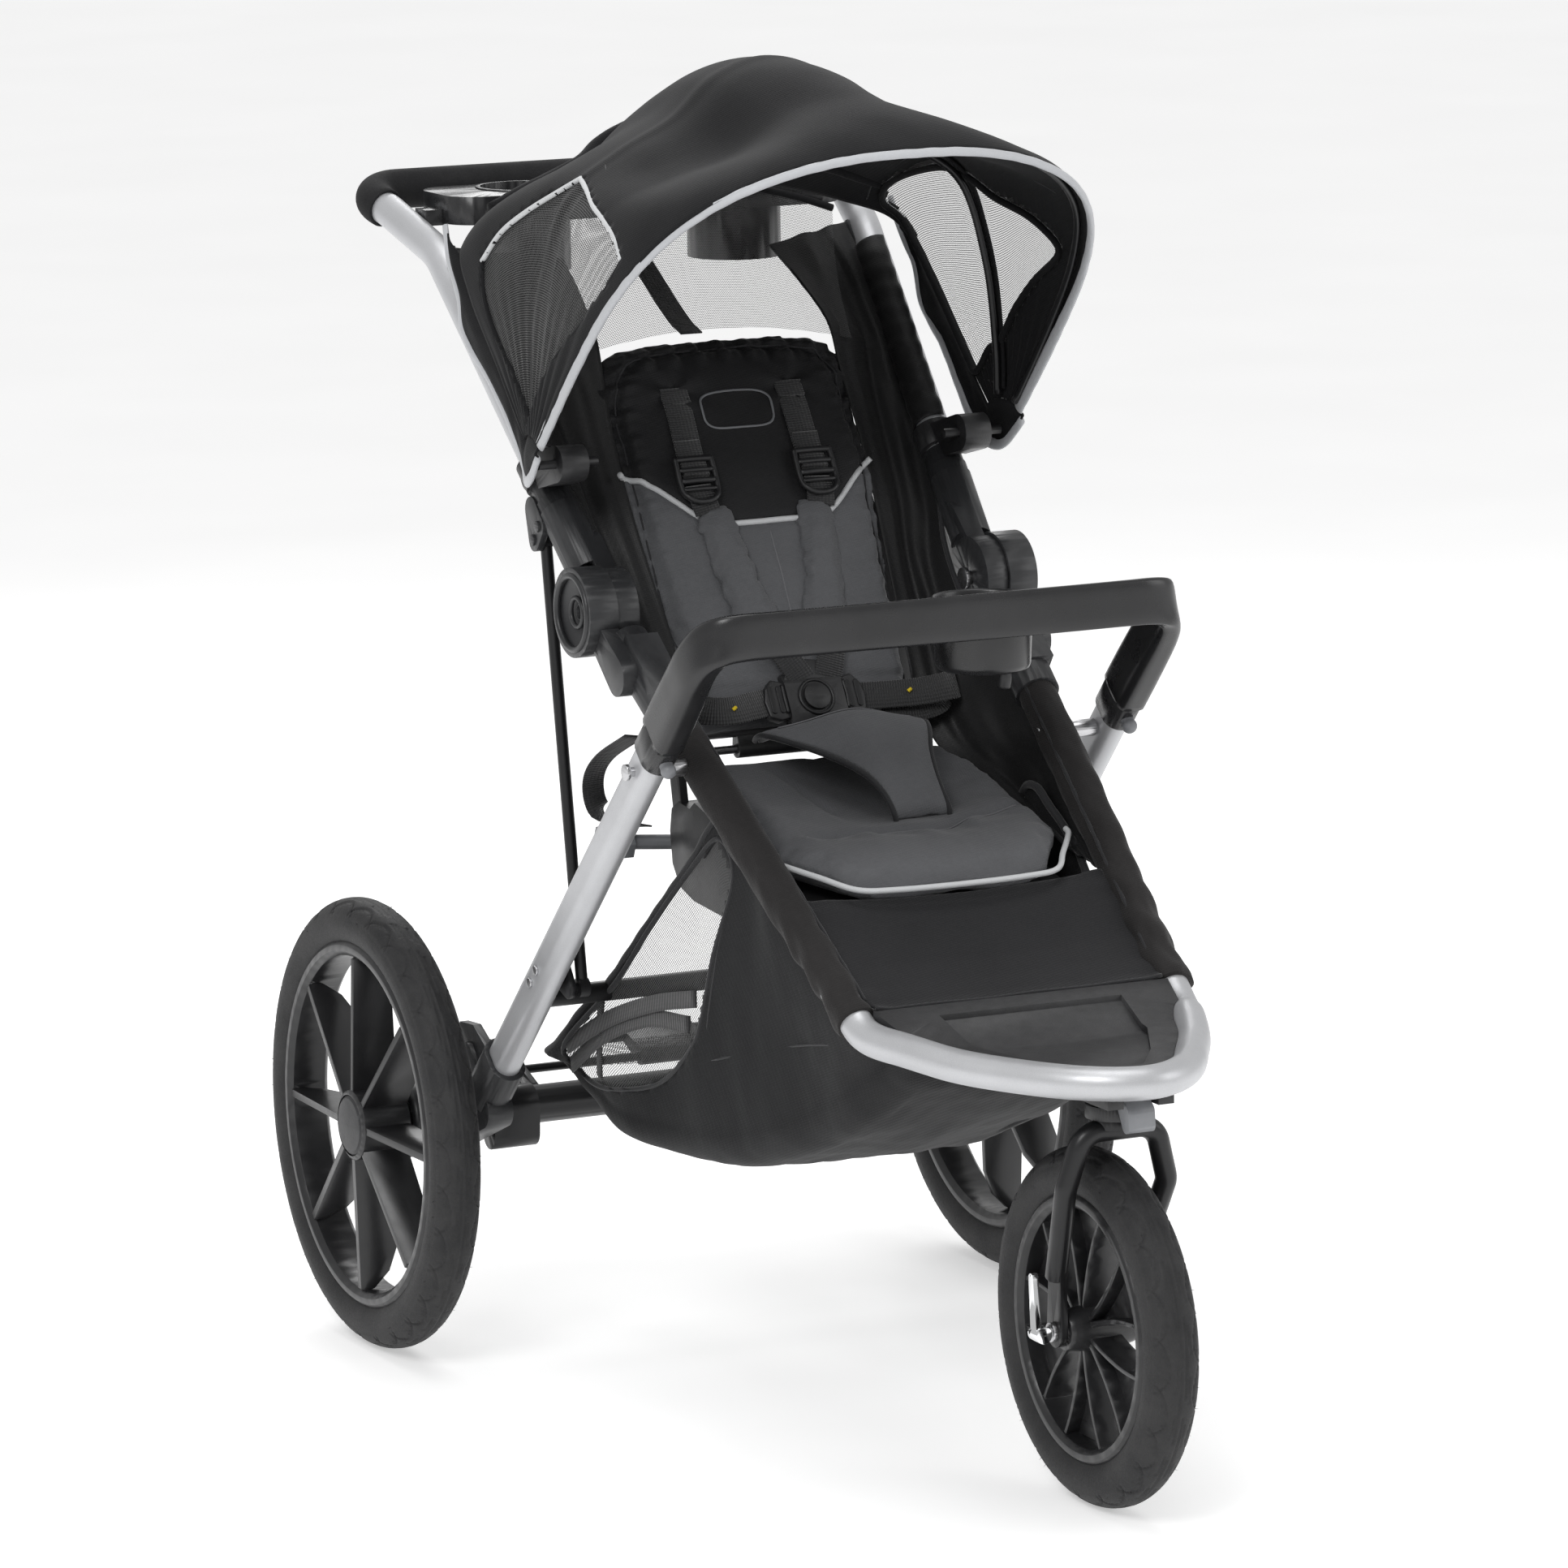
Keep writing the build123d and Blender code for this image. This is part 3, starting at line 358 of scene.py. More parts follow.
def cloth(name, colour, thread, sheen, rough, weave, shift=0.18, wrinkle=0.0, specular=0.25):
    """Woven cloth: crossing threads, slubs, soft shade drift and sheen."""
    s = new_material(name)
    coords = s.coords(rotation=(0.35, 0.2, 0.3))
    wave_x, wave_z, wave_y = (s.wave(coords, thread, axis, distortion=0.6) for axis in "XZY")
    weft = s.math("MULTIPLY", s.math("ADD", wave_x, wave_y), wave_z)
    slub = s.noise(coords, scale=260, detail=4, rough=0.6)
    drift = s.noise(coords, scale=9, detail=3, rough=0.5)
    grain = s.noise(coords, scale=1100, detail=2, rough=0.5)
    mottle = s.weigh(drift, 0.6, slub, 0.4)
    plain = s.mix(s.remap(mottle, span=(0.3, 0.7)), shade(colour, 1 - shift),
                  shade(colour, 1 + shift, lift=0.004))
    woven = s.mix(s.remap(weft, span=(0.0, 1.6), out=(0.0, 0.5)), shade(colour, 0.72), plain)
    s.finish({
        "Base Color": s.mix(0.65, woven, plain),
        "Roughness": s.remap(grain, span=(0.2, 0.8), out=(rough - 0.08, min(1.0, rough + 0.08))),
        "Sheen Weight": sheen,
        "Sheen Roughness": 0.45,
        "Specular IOR Level": specular,
    })
    threads = s.bump(s.weigh(weft, 0.6, slub, 0.5), strength=weave, depth=0.0007)
    if wrinkle > 0:
        folds = s.noise(s.coords(scale=(22, 22, 7)), scale=1.0, detail=5, rough=0.6)
        s.bump(folds, strength=wrinkle, depth=0.006, under=threads)


def plastic(name, colour, rough, grain, grain_scale=900, coat=0.0):
    """Moulded plastic: fine pebbled grain, roughness drift, lighter worn edges."""
    s = new_material(name)
    coords = s.coords()
    pebbles = s.add("TexVoronoi", {"Vector": coords, "Scale": grain_scale}).outputs["Distance"]
    fine = s.noise(coords, scale=grain_scale * 0.8, detail=2)
    drift = s.noise(coords, scale=14, detail=4, rough=0.6)
    base = s.mix(s.remap(drift, span=(0.35, 0.65)), shade(colour, 0.88),
                 shade(colour, 1.14, lift=0.003))
    edges = s.remap(s.add("NewGeometry", {}).outputs["Pointiness"], span=(0.515, 0.60))
    wear = s.math("MULTIPLY", edges, s.noise(coords, scale=90, detail=4, rough=0.7))
    smudge = s.noise(coords, scale=30, detail=5, rough=0.65)
    s.finish({
        "Base Color": s.mix(wear, base, shade(colour, 1.7, lift=0.03)),
        "Roughness": s.remap(smudge, span=(0.25, 0.75), out=(rough - 0.06, rough + 0.09)),
        "Specular IOR Level": 0.5,
        "Coat Weight": coat,
        "Coat Roughness": 0.25,
    })
    s.bump(s.weigh(pebbles, 0.7, fine, 0.4), strength=grain, depth=0.0004)


def metal(name, colour, rough, metallic=1.0, flake=0.1, streak=(1, 1, 1), scratch=0.04, coat=0.0):
    """Metal or metallic paint: shade drift, fine flakes and streaked smudges."""
    s = new_material(name)
    coords = s.coords()
    drift = s.noise(coords, scale=11, detail=4, rough=0.6)
    fine = s.noise(coords, scale=1500, detail=2)
    base = s.mix(s.remap(drift, span=(0.3, 0.7)), shade(colour, 0.93), shade(colour, 1.05))
    flakes = s.remap(fine, span=(0.35, 0.65), out=(0.0, flake))
    smudge = s.noise(s.coords(scale=streak), scale=60, detail=5, rough=0.7)
    s.finish({
        "Base Color": s.mix(flakes, base, shade(colour, 1.25)),
        "Metallic": metallic,
        "Roughness": s.remap(smudge, span=(0.25, 0.75), out=(rough - 0.05, rough + 0.08)),
        "Coat Weight": coat,
        "Coat Roughness": 0.2,
    })
    s.bump(fine, strength=scratch, depth=0.0002)


def rubber(name, colour, rough, dust):
    """Rubber with patches of pale dust."""
    s = new_material(name)
    coords = s.coords()
    patches = s.noise(coords, scale=25, detail=5, rough=0.65)
    fine = s.noise(coords, scale=700, detail=3)
    s.finish({
        "Base Color": s.mix(s.remap(patches, span=(0.35, 0.7), out=(0, dust)), colour, DUST),
        "Roughness": s.remap(fine, span=(0.3, 0.7), out=(rough - 0.06, rough + 0.1)),
        "Specular IOR Level": 0.35,
    })
    s.bump(fine, strength=0.25, depth=0.0004)


def uv_map(s):
    return s.add("UVMap", {}, uv_map="UVMap").outputs["UV"]


def webbing_material(name, colour):
    """Ribbed webbing; the ribs run across its length, which is the u direction."""
    s = new_material(name)
    coords = uv_map(s)
    ribs = s.wave(coords, scale=140, axis="X", distortion=0.4)
    threads = s.wave(coords, scale=95, axis="Y", distortion=0.8)
    drift = s.noise(s.coords(), scale=20, detail=4)
    base = s.mix(s.remap(ribs, span=(0.2, 0.9)), shade(colour, 0.45), shade(colour, 1.35))
    drift = s.remap(drift, span=(0.3, 0.7), out=(0, 0.35))
    s.finish({
        "Base Color": s.mix(drift, base, shade(colour, 1.6)),
        "Roughness": 0.62,
        "Sheen Weight": 0.25,
    })
    s.bump(s.weigh(ribs, 1.0, threads, 0.35), strength=0.7, depth=0.0011)


def mesh_material(name, colour, scale, hole_level):
    """Open knitted mesh: round holes let light through where the waves pass hole_level."""
    s = new_material(name)
    coords = uv_map(s)
    knit = s.math("MULTIPLY", s.wave(coords, scale, "X"), s.wave(coords, scale, "Y"))
    holes = s.math("GREATER_THAN", knit, hole_level)
    s.finish({
        "Base Color": s.mix(s.remap(knit, span=(0, 0.5)), shade(colour, 1.5, lift=0.01),
                            shade(colour, 0.6)),
        "Roughness": 0.7,
        "Sheen Weight": 0.2,
        "Alpha": s.math("SUBTRACT", 1.0, holes),
    })
    s.bump(knit, strength=0.5, depth=0.0006)


cloth("canopy_cloth", (0.0085, 0.0085, 0.0095), thread=170, sheen=0.05, rough=0.85, weave=0.22,
      wrinkle=0.05, specular=0.2)
cloth("seat_cloth_black", (0.0095, 0.0095, 0.0105), thread=150, sheen=0.06, rough=0.7,
      weave=0.3, wrinkle=0.12, specular=0.3)
cloth("seat_cloth_grey", (0.098, 0.100, 0.106), thread=150, sheen=0.15, rough=0.7, weave=0.3,
      wrinkle=0.10, specular=0.3)
cloth("wing_cloth", (0.0075, 0.0075, 0.008), thread=170, sheen=0.05, rough=0.55, weave=0.2,
      wrinkle=0.15, specular=0.4)
cloth("apron_cloth", (0.0145, 0.0145, 0.016), thread=160, sheen=0.08, rough=0.78, weave=0.35,
      wrinkle=0.06)
cloth("basket_cloth", (0.0085, 0.0085, 0.0095), thread=150, sheen=0.05, rough=0.72, weave=0.3,
      wrinkle=0.15)
cloth("sleeve_cloth", (0.017, 0.0155, 0.0155), thread=170, sheen=0.08, rough=0.75, weave=0.3,
      wrinkle=0.1)
cloth("piping_light", (0.60, 0.61, 0.62), thread=260, sheen=0.3, rough=0.6, weave=0.25,
      shift=0.06)
cloth("trim_silver", (0.47, 0.48, 0.50), thread=260, sheen=0.25, rough=0.42, weave=0.2,
      shift=0.07, wrinkle=0.08, specular=0.5)
cloth("dark_binding", (0.02, 0.02, 0.022), thread=260, sheen=0.2, rough=0.7, weave=0.25)
webbing_material("webbing", (0.013, 0.013, 0.014))
mesh_material("mesh_window", (0.02, 0.02, 0.02), scale=150, hole_level=0.10)
mesh_material("mesh_rear", (0.05, 0.05, 0.05), scale=170, hole_level=0.05)
mesh_material("mesh_basket", (0.03, 0.03, 0.03), scale=130, hole_level=0.12)
for thread_name, thread_colour in (("stitch_thread", (0.16, 0.16, 0.17)),
                                   ("stitch_black", (0.03, 0.03, 0.032)),
                                   ("stitch_yellow", (0.75, 0.55, 0.02))):
    cloth(thread_name, thread_colour, thread=400, sheen=0.1, rough=0.6, weave=0.35)
metal("satin_silver", (0.52, 0.525, 0.54), rough=0.40, metallic=0.55, flake=0.35)
metal("machined_steel", (0.56, 0.56, 0.57), rough=0.28, streak=(1, 30, 30))
metal("chrome", (0.86, 0.87, 0.88), rough=0.09, scratch=0.01)
metal("brass", (0.62, 0.47, 0.22), rough=0.3)  # on no piece
metal("dark_paint", (0.010, 0.010, 0.011), rough=0.38, metallic=0.35, flake=0.2, coat=0.15)
plastic("black_plastic", (0.012, 0.012, 0.013), rough=0.42, grain=0.22)
plastic("charcoal_plastic", (0.010, 0.010, 0.011), rough=0.27, grain=0.12, grain_scale=1400,
        coat=0.1)
plastic("hinge_plastic", (0.018, 0.0185, 0.020), rough=0.36, grain=0.15, grain_scale=1200)
plastic("foot_plastic", (0.012, 0.012, 0.013), rough=0.5, grain=0.4, grain_scale=650)
plastic("grey_plastic", (0.16, 0.165, 0.175), rough=0.42, grain=0.2)
plastic("rim_plastic", (0.011, 0.011, 0.012), rough=0.33, grain=0.12, grain_scale=1300,
        coat=0.12)
metal("rim_edge", (0.32, 0.33, 0.34), rough=0.3, metallic=0.7)  # on no piece
plastic("cap_plastic", (0.024, 0.024, 0.026), rough=0.48, grain=0.35, grain_scale=700)
rubber("tyre_rubber", (0.016, 0.016, 0.017), rough=0.62, dust=0.10)
rubber("tube_rubber", (0.02, 0.02, 0.02), rough=0.55, dust=0.05)
rubber("grip_foam", (0.008, 0.008, 0.009), rough=0.85, dust=0.05)


# =============================== MESH HELPERS =============================================
def shade_smooth(mesh, on=True):
    mesh.polygons.foreach_set("use_smooth", [on] * len(mesh.polygons))


def new_object(name, verts, faces, material, rounded=True, uvs=None):
    mesh = bpy.data.meshes.new(name)
    mesh.from_pydata([tuple(v) for v in verts], [], faces)
    mesh.update()
    if uvs is not None:
        layer = mesh.uv_layers.new(name="UVMap")
        for loop in mesh.loops:
            layer.data[loop.index].uv = uvs[loop.vertex_index]
    mesh.materials.append(MATERIALS[material])
    shade_smooth(mesh, rounded)
    obj = bpy.data.objects.new(name, mesh)
    bpy.context.scene.collection.objects.link(obj)
    return obj


def attach(obj, body, slot, replaces=None):
    """Fix a piece to a moving body, say which node it stands in for, and name its slot."""
    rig.ride(obj, body)
    if replaces:
        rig.replaces(obj, replaces)
    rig.slot(obj, slot)
    return obj


def apply_modifiers(obj):
    bpy.context.view_layer.update()
    graph = bpy.context.evaluated_depsgraph_get()
    mesh = bpy.data.meshes.new_from_object(obj.evaluated_get(graph))
    old = obj.data
    obj.modifiers.clear()
    obj.data = mesh
    bpy.data.meshes.remove(old)


def face_outward(obj):
    bm = bmesh.new()
    bm.from_mesh(obj.data)
    bmesh.ops.recalc_face_normals(bm, faces=bm.faces)
    bm.to_mesh(obj.data)
    bm.free()


def relax(obj, iterations):
    modifier = obj.modifiers.new("smooth", "SMOOTH")
    modifier.factor = 0.5
    modifier.iterations = iterations
    apply_modifiers(obj)


def square_off(vector, tangent):
    """The unit part of a vector that is square to the tangent."""
    return (vector - tangent * vector.dot(tangent)).normalized()


def path_axes(path, ups=None):
    """Two directions square to a path at each point; ups (one or a list) steers the first."""
    tangents = []
    for i in range(len(path)):
        step = path[min(i + 1, len(path) - 1)] - path[max(i - 1, 0)]
        tangents.append(step.normalized() if step.length > 1e-9 else Vector((0, 0, 1)))
    if ups is None:
        hint = Vector((0, 0, 1)) if abs(tangents[0].z) < 0.9 else Vector((1, 0, 0))
        normal = square_off(hint, tangents[0])
        normals = []
        for tangent in tangents:
            normal = square_off(normal, tangent)
            normals.append(normal)
    else:
        if isinstance(ups, Vector):
            ups = [ups] * len(path)
        normals = [square_off(up, tangent) for up, tangent in zip(ups, tangents)]
    return normals, [tangent.cross(normal) for tangent, normal in zip(tangents, normals)]


def path_lengths(path):
    lengths = [0.0]
    for start, end in zip(path, path[1:]):
        lengths.append(lengths[-1] + (end - start).length)
    return lengths


def loft(name, rings, uvs, material, capped=True):
    """Skin over rings of equal count, its ends capped unless it closes on itself."""
    count = len(rings[0])
    last = (len(rings) - 1) * count
    faces = []
    for base in range(0, last, count):
        for k in range(count):
            here, beside = base + k, base + (k + 1) % count
            faces.append((here, beside, beside + count, here + count))
    if capped:
        faces += [tuple(range(count - 1, -1, -1)), tuple(range(last, last + count))]
    return new_object(name, [v for ring in rings for v in ring], faces, material, uvs=uvs)


def tube(name, points, radius, material, sides=12, per=6, thick=None, up=None, closed=False,
         wobble=None):
    """A tube through points, radius mm wide and thick mm along up (else round).

    Both may be functions of the part of the way along; wobble(metres along, angle round)
    is added to 1 and scales both. UV u runs along.
    """
    path = catmull(points, per, closed)
    if closed:
        path.append(path[0].copy())
    normals, across = path_axes(path, up)

    def size(value, part):
        return (value(part) if callable(value) else value) / 1000.0

    rings, uvs = [], []
    for i, (centre, run) in enumerate(zip(path, path_lengths(path))):
        part = i / (len(path) - 1)
        width, height = size(radius, part), size(thick or radius, part)
        ring = []
        for k, turn in enumerate(angles(sides)):
            swell = 1.0 + wobble(run, turn) if wobble else 1.0
            ring.append(centre + across[i] * (cos(turn) * width * swell)
                        + normals[i] * (sin(turn) * height * swell))
            uvs.append((run, k / sides * 2 * pi * width))
        rings.append(ring)
    return loft(name, rings, uvs, material, capped=not closed)


def strap(name, points, normals, width, thick, material="webbing"):
    """A flat band through points with its outward normal (one or a list). UV u runs along."""
    per = 8
    path = catmull(points, per)
    normals = catmull(normals, per) if isinstance(normals, list) else [normals] * len(path)
    normals, across = path_axes(path, [n.normalized() for n in normals])
    half, rise = width / 2000.0, thick / 2000.0
    section = [(-half, -rise * 0.6), (-half, rise * 0.6), (-half * 0.96, rise), (0, rise),
               (half * 0.96, rise), (half, rise * 0.6), (half, -rise * 0.6),
               (half * 0.96, -rise), (0, -rise), (-half * 0.96, -rise)]
    rings, uvs = [], []
    for i, (centre, run) in enumerate(zip(path, path_lengths(path))):
        rings.append([centre + across[i] * x + normals[i] * y for x, y in section])
        uvs += [(run, x) for x, y in section]
    return loft(name, rings, uvs, material)


def sheet(name, surface, nu, nv, material, thick=2.0, keep=None, closed=True):
    """A sheet over surface(u, v), u and v 0..1, thick mm against the grid normal.

    keep(u, v) says which cells stay; closed adds the back faces and the rim.
    """
    grid = [[surface(i / nu, j / nv) for j in range(nv + 1)] for i in range(nu + 1)]
    front, back, uvs = [], [], []
    run_u = [0.0] * (nv + 1)
    for i in range(nu + 1):
        run_v = 0.0
        for j in range(nv + 1):
            here = grid[i][j]
            along = grid[min(i + 1, nu)][j] - grid[max(i - 1, 0)][j]
            across = grid[i][min(j + 1, nv)] - grid[i][max(j - 1, 0)]
            normal = along.cross(across)
            # where the grid pinches to a point it has no normal of its own
            normal = normal.normalized() if normal.length > 1e-12 else Vector((0, 0, 1))
            if i:
                run_u[j] += (here - grid[i - 1][j]).length
            if j:
                run_v += (here - grid[i][j - 1]).length
            front.append(here)
            back.append(here - normal * (thick / 1000.0))
            uvs.append((run_u[j], run_v))
    behind = len(front)
    quads, faces = [], []
    for i in range(nu):
        for j in range(nv):
            if keep and not keep((i + 0.5) / nu, (j + 0.5) / nv):
                continue
            corner, beyond = i * (nv + 1) + j, (i + 1) * (nv + 1) + j
            quad = (corner, beyond, beyond + 1, corner + 1)
            quads.append(quad)
            faces.append(quad)
            if closed:
                faces.append(tuple(x + behind for x in quad[::-1]))
    if closed:
        # a rim face wherever an edge has no neighbour
        edges = dict.fromkeys(e for quad in quads for e in zip(quad, quad[1:] + quad[:1]))
        faces += [(b, a, a + behind, b + behind) for a, b in edges if (b, a) not in edges]
    obj = new_object(name, front + back, faces, material, uvs=uvs * 2)
    # writes the material index attribute, all faces on the first slot
    obj.data.polygons.foreach_set("material_index", [0] * len(faces))
    return obj


# =============================== CAD PIECES ===============================================
CAD_LOOKS = [  # material, bevel mm (0 for none), nodes
    ("satin_silver", 0, "leg_tube_left leg_tube_right lower_tube handle_tube"),
    ("charcoal_plastic", 1.2, "tray_mounts"),
    ("charcoal_plastic", 1.6, "parent_tray"),
    ("grey_plastic", 0, "tray_buttons"),
    ("grey_plastic", 1.0, "fold_handle"),
    ("grey_plastic", 0.9, "swivel_lock_lever"),
    ("hinge_plastic", 1.6, "axle_bracket_left axle_bracket_right"),
    ("hinge_plastic", 1.3,
     "lower_hinge_left lower_hinge_right upper_hinge_left upper_hinge_right"),
    ("black_plastic", 1.5, "seat_pan"),
    ("black_plastic", 1.3, "canopy_mounts"),
    ("black_plastic", 1.2, "brake_pedal"),
    ("black_plastic", 1.0, "swivel_housing harness_buckle"),
    ("black_plastic", 0.8, "seat_back_board"),
    ("black_plastic", 0.5, "buckle_button"),
    ("foot_plastic", 1.6, "footrest"),
    ("dark_paint", 0, "leg_cross_tube link_rods brake_shaft"),
    ("dark_paint", 0.6, "rear_axle_housing front_fork"),
    ("dark_paint", 0.5, "link_brackets"),
    ("machined_steel", 0,
     "rear_axle rear_bearings_left rear_bearings_right front_bearings seat_hinge_rod"),
    ("machined_steel", 0.5, "leg_rivets pivot_bolts front_axle"),
    ("chrome", 0.8, "quick_release_lever"),
    ("tube_rubber", 0, "rear_inner_tube_left rear_inner_tube_right front_inner_tube"),
    ("rim_plastic", 1.2, "rear_rim_left rear_rim_right"),
    ("rim_plastic", 1.0, "front_rim"),
    ("cap_plastic", 0.8, "rear_hub_cap_left rear_hub_cap_right"),
    ("grip_foam", 1.5, "foam_grip"),
]


@cache
def sharp_group(angle):
    """Geometry nodes that shade smooth with sharp edges past an angle in degrees."""
    group = bpy.data.node_groups.new(f"sharp_{angle}", "GeometryNodeTree")
    for direction in ("INPUT", "OUTPUT"):
        group.interface.new_socket("Geometry", in_out=direction,
                                   socket_type="NodeSocketGeometry")
    start = group.nodes.new("NodeGroupInput")
    end = group.nodes.new("NodeGroupOutput")
    edge_angle = group.nodes.new("GeometryNodeInputMeshEdgeAngle")
    compare = group.nodes.new("FunctionNodeCompare")
    compare.data_type = "FLOAT"
    compare.operation = "LESS_EQUAL"
    compare.inputs[1].default_value = radians(angle)
    shading = group.nodes.new("GeometryNodeSetShadeSmooth")
    shading.domain = "EDGE"
    group.links.new(edge_angle.outputs["Unsigned Angle"], compare.inputs[0])
    group.links.new(start.outputs[0], shading.inputs["Geometry"])
    group.links.new(compare.outputs[0], shading.inputs["Shade Smooth"])
    group.links.new(shading.outputs[0], end.inputs[0])
    return group


def cad_look(obj, material, bevel):
    """Show a CAD node as itself, welded and with its hard edges softened."""
    mesh = obj.data
    mesh.materials.clear()
    mesh.materials.append(MATERIALS[material])
    if mesh.has_custom_normals:
        # the operator may refuse the mesh; its own normals then stay
        try:
            with bpy.context.temp_override(object=obj, active_object=obj,
                                           selected_objects=[obj]):
                bpy.ops.mesh.customdata_custom_splitnormals_clear()
        except Exception:
            pass
    shade_smooth(mesh)
    weld = obj.modifiers.new("weld", "WELD")
    weld.merge_threshold = 0.00002
    if bevel:
        soften = obj.modifiers.new("bevel", "BEVEL")
        soften.width = bevel / 1000.0
        soften.segments = 2
        soften.limit_method = "ANGLE"
        soften.angle_limit = radians(30)
        soften.use_clamp_overlap = True
        soften.harden_normals = True
    sharp = obj.modifiers.new("sharp", "NODES")
    sharp.node_group = sharp_group(38 if bevel else 30)


for look, look_bevel, nodes in CAD_LOOKS:
    for node in nodes.split():
        cad_look(NODES[node], look, look_bevel)

# =============================== STAGE, LIGHT, CAMERA =====================================
FLOOR_HALF = 60.0
LIGHTS = [  # name, place, size, power, target; metres in the frame
    ("key", (-2.6, -2.4, 3.2), 1.6, 62, (0, 0, 0.5)),
    ("fill", (3.2, -2.0, 1.9), 2.0, 22, (0, 0, 0.6)),
    ("rim", (0.8, 3.2, 2.8), 1.8, 40, (0, 0, 0.7)),
    ("top", (0.0, -0.4, 3.6), 2.0, 30, (0, 0, 0.5)),
]
CAMERA_PLACE = (-2954.9, -6342.6, 1751.5)
CAMERA_YAW, CAMERA_PITCH, CAMERA_ROLL = 0.44807, 0.18076, -0.01301  # radians
CAMERA_LENS = 183.53031


def floor():
    s = new_material("floor_pale")
    clouds = s.remap(s.noise(s.coords(), scale=2.0, detail=3), span=(0.3, 0.7))
    s.finish({
        "Base Color": s.mix(clouds, (0.84, 0.84, 0.84), (0.88, 0.88, 0.88)),
        "Roughness": 0.7,
        "Emission Color": (1, 1, 1),
        "Emission Strength": 0.42,
    })
    corners = [(x * FLOOR_HALF, y * FLOOR_HALF, 0)
               for x, y in ((-1, -1), (1, -1), (1, 1), (-1, 1))]
    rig.stage(new_object("floor", corners, [(0, 1, 2, 3)], "floor_pale", rounded=False))


def world():
    """White to the camera, dimmer as a light."""
    studio = bpy.data.worlds.new("studio")
    bpy.context.scene.world = studio
    studio.use_nodes = True
    s = Shader(studio.node_tree, studio.node_tree.nodes["Background"])
    seen = s.add("LightPath", {}).outputs["Is Camera Ray"]
    s.finish({"Color": (1, 1, 1), "Strength": s.remap(seen, span=(0.0, 1.0), out=(0.55, 1.0))})


def lights():
    for name, place, size, power, target in LIGHTS:
        light = bpy.data.lights.new(name, "AREA")
        light.size = size
        light.energy = power
        obj = bpy.data.objects.new(name, light)
        obj.location = place
        obj.rotation_mode = "QUATERNION"
        obj.rotation_quaternion = (Vector(target) - Vector(place)).to_track_quat("-Z", "Y")
        bpy.context.scene.collection.objects.link(obj)
        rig.stage(obj)


def camera():
    forward = Vector((sin(CAMERA_YAW) * cos(CAMERA_PITCH), cos(CAMERA_YAW) * cos(CAMERA_PITCH),
                      -sin(CAMERA_PITCH)))
    level = Vector((cos(CAMERA_YAW), -sin(CAMERA_YAW), 0))
    upward = level.cross(forward)
    right = level * cos(CAMERA_ROLL) + upward * sin(CAMERA_ROLL)
    up = -level * sin(CAMERA_ROLL) + upward * cos(CAMERA_ROLL)
    data = bpy.data.cameras.new("camera")
    data.sensor_width = 36
    data.lens = CAMERA_LENS
    data.clip_start = 0.5
    data.clip_end = 60
    obj = bpy.data.objects.new("camera", data)
    pose = Matrix((right, up, -forward)).transposed().to_4x4()
    pose.translation = point(*CAMERA_PLACE)
    obj.matrix_world = pose
    bpy.context.scene.collection.objects.link(obj)
    bpy.context.scene.camera = obj
    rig.stage(obj)


floor()
world()
lights()
camera()
bpy.context.scene.view_settings.view_transform = "Standard"

# =============================== CANOPY ===================================================
# Arches across the canopy, by angle about its pivot from the rear (degrees).
# Points: half width, radius from the pivot, from the ridge down to the lower edge.
ARCHES = {
    43.0: [(0, 338), (58, 324), (104, 296), (164, 272), (208, 246), (219, 190), (220, 100),
           (221, 30)],
    68.0: [(0, 334), (46, 320), (82, 290), (140, 263), (197, 233), (217, 170), (224, 90),
           (225, 28)],
    93.0: [(0, 335), (48, 321), (88, 287), (140, 262), (192, 224), (217, 150), (226, 75),
           (227, 26)],
    115.0: [(0, 350), (50, 334), (92, 297), (146, 277), (198, 250), (220, 178), (228, 95),
            (228, 28)],
    135.5: [(0, 398), (60, 394), (118, 376), (168, 342), (203, 290), (222, 220), (228, 130),
            (229, 30)],
}
ARCH_ANGLES = list(ARCHES)
ARCH_ROWS = [np.array(ARCHES[angle], float) for angle in ARCH_ANGLES]
REAR, BRIM = ARCH_ANGLES[0], ARCH_ANGLES[-1]
MIDDLE_BOW = 89.5  # angle of the middle bow
PIVOT_Y, PIVOT_Z = -180.0, 798.0
WINDOWS = {  # side: outline as (part of the way down from the ridge, angle)
    -1: [(0.675, 53.8), (0.635, 64), (0.60, 75.4), (0.555, 84), (0.517, 89.2), (0.545, 98),
         (0.575, 107), (0.592, 114.7), (0.615, 124), (0.640, 130.6), (0.70, 131.3),
         (0.775, 129.0), (0.84, 120), (0.90, 107), (0.95, 94), (0.962, 88), (0.93, 74),
         (0.87, 59), (0.808, 50.7), (0.74, 50.5)],
    1: [(0.60, 46), (0.53, 47), (0.52, 54), (0.545, 66), (0.548, 84), (0.575, 92), (0.61, 100),
        (0.645, 112), (0.675, 121), (0.70, 125), (0.725, 124), (0.76, 116), (0.80, 106),
        (0.85, 90), (0.89, 72), (0.925, 57), (0.93, 48), (0.90, 45.5), (0.80, 45), (0.70, 45)],
}
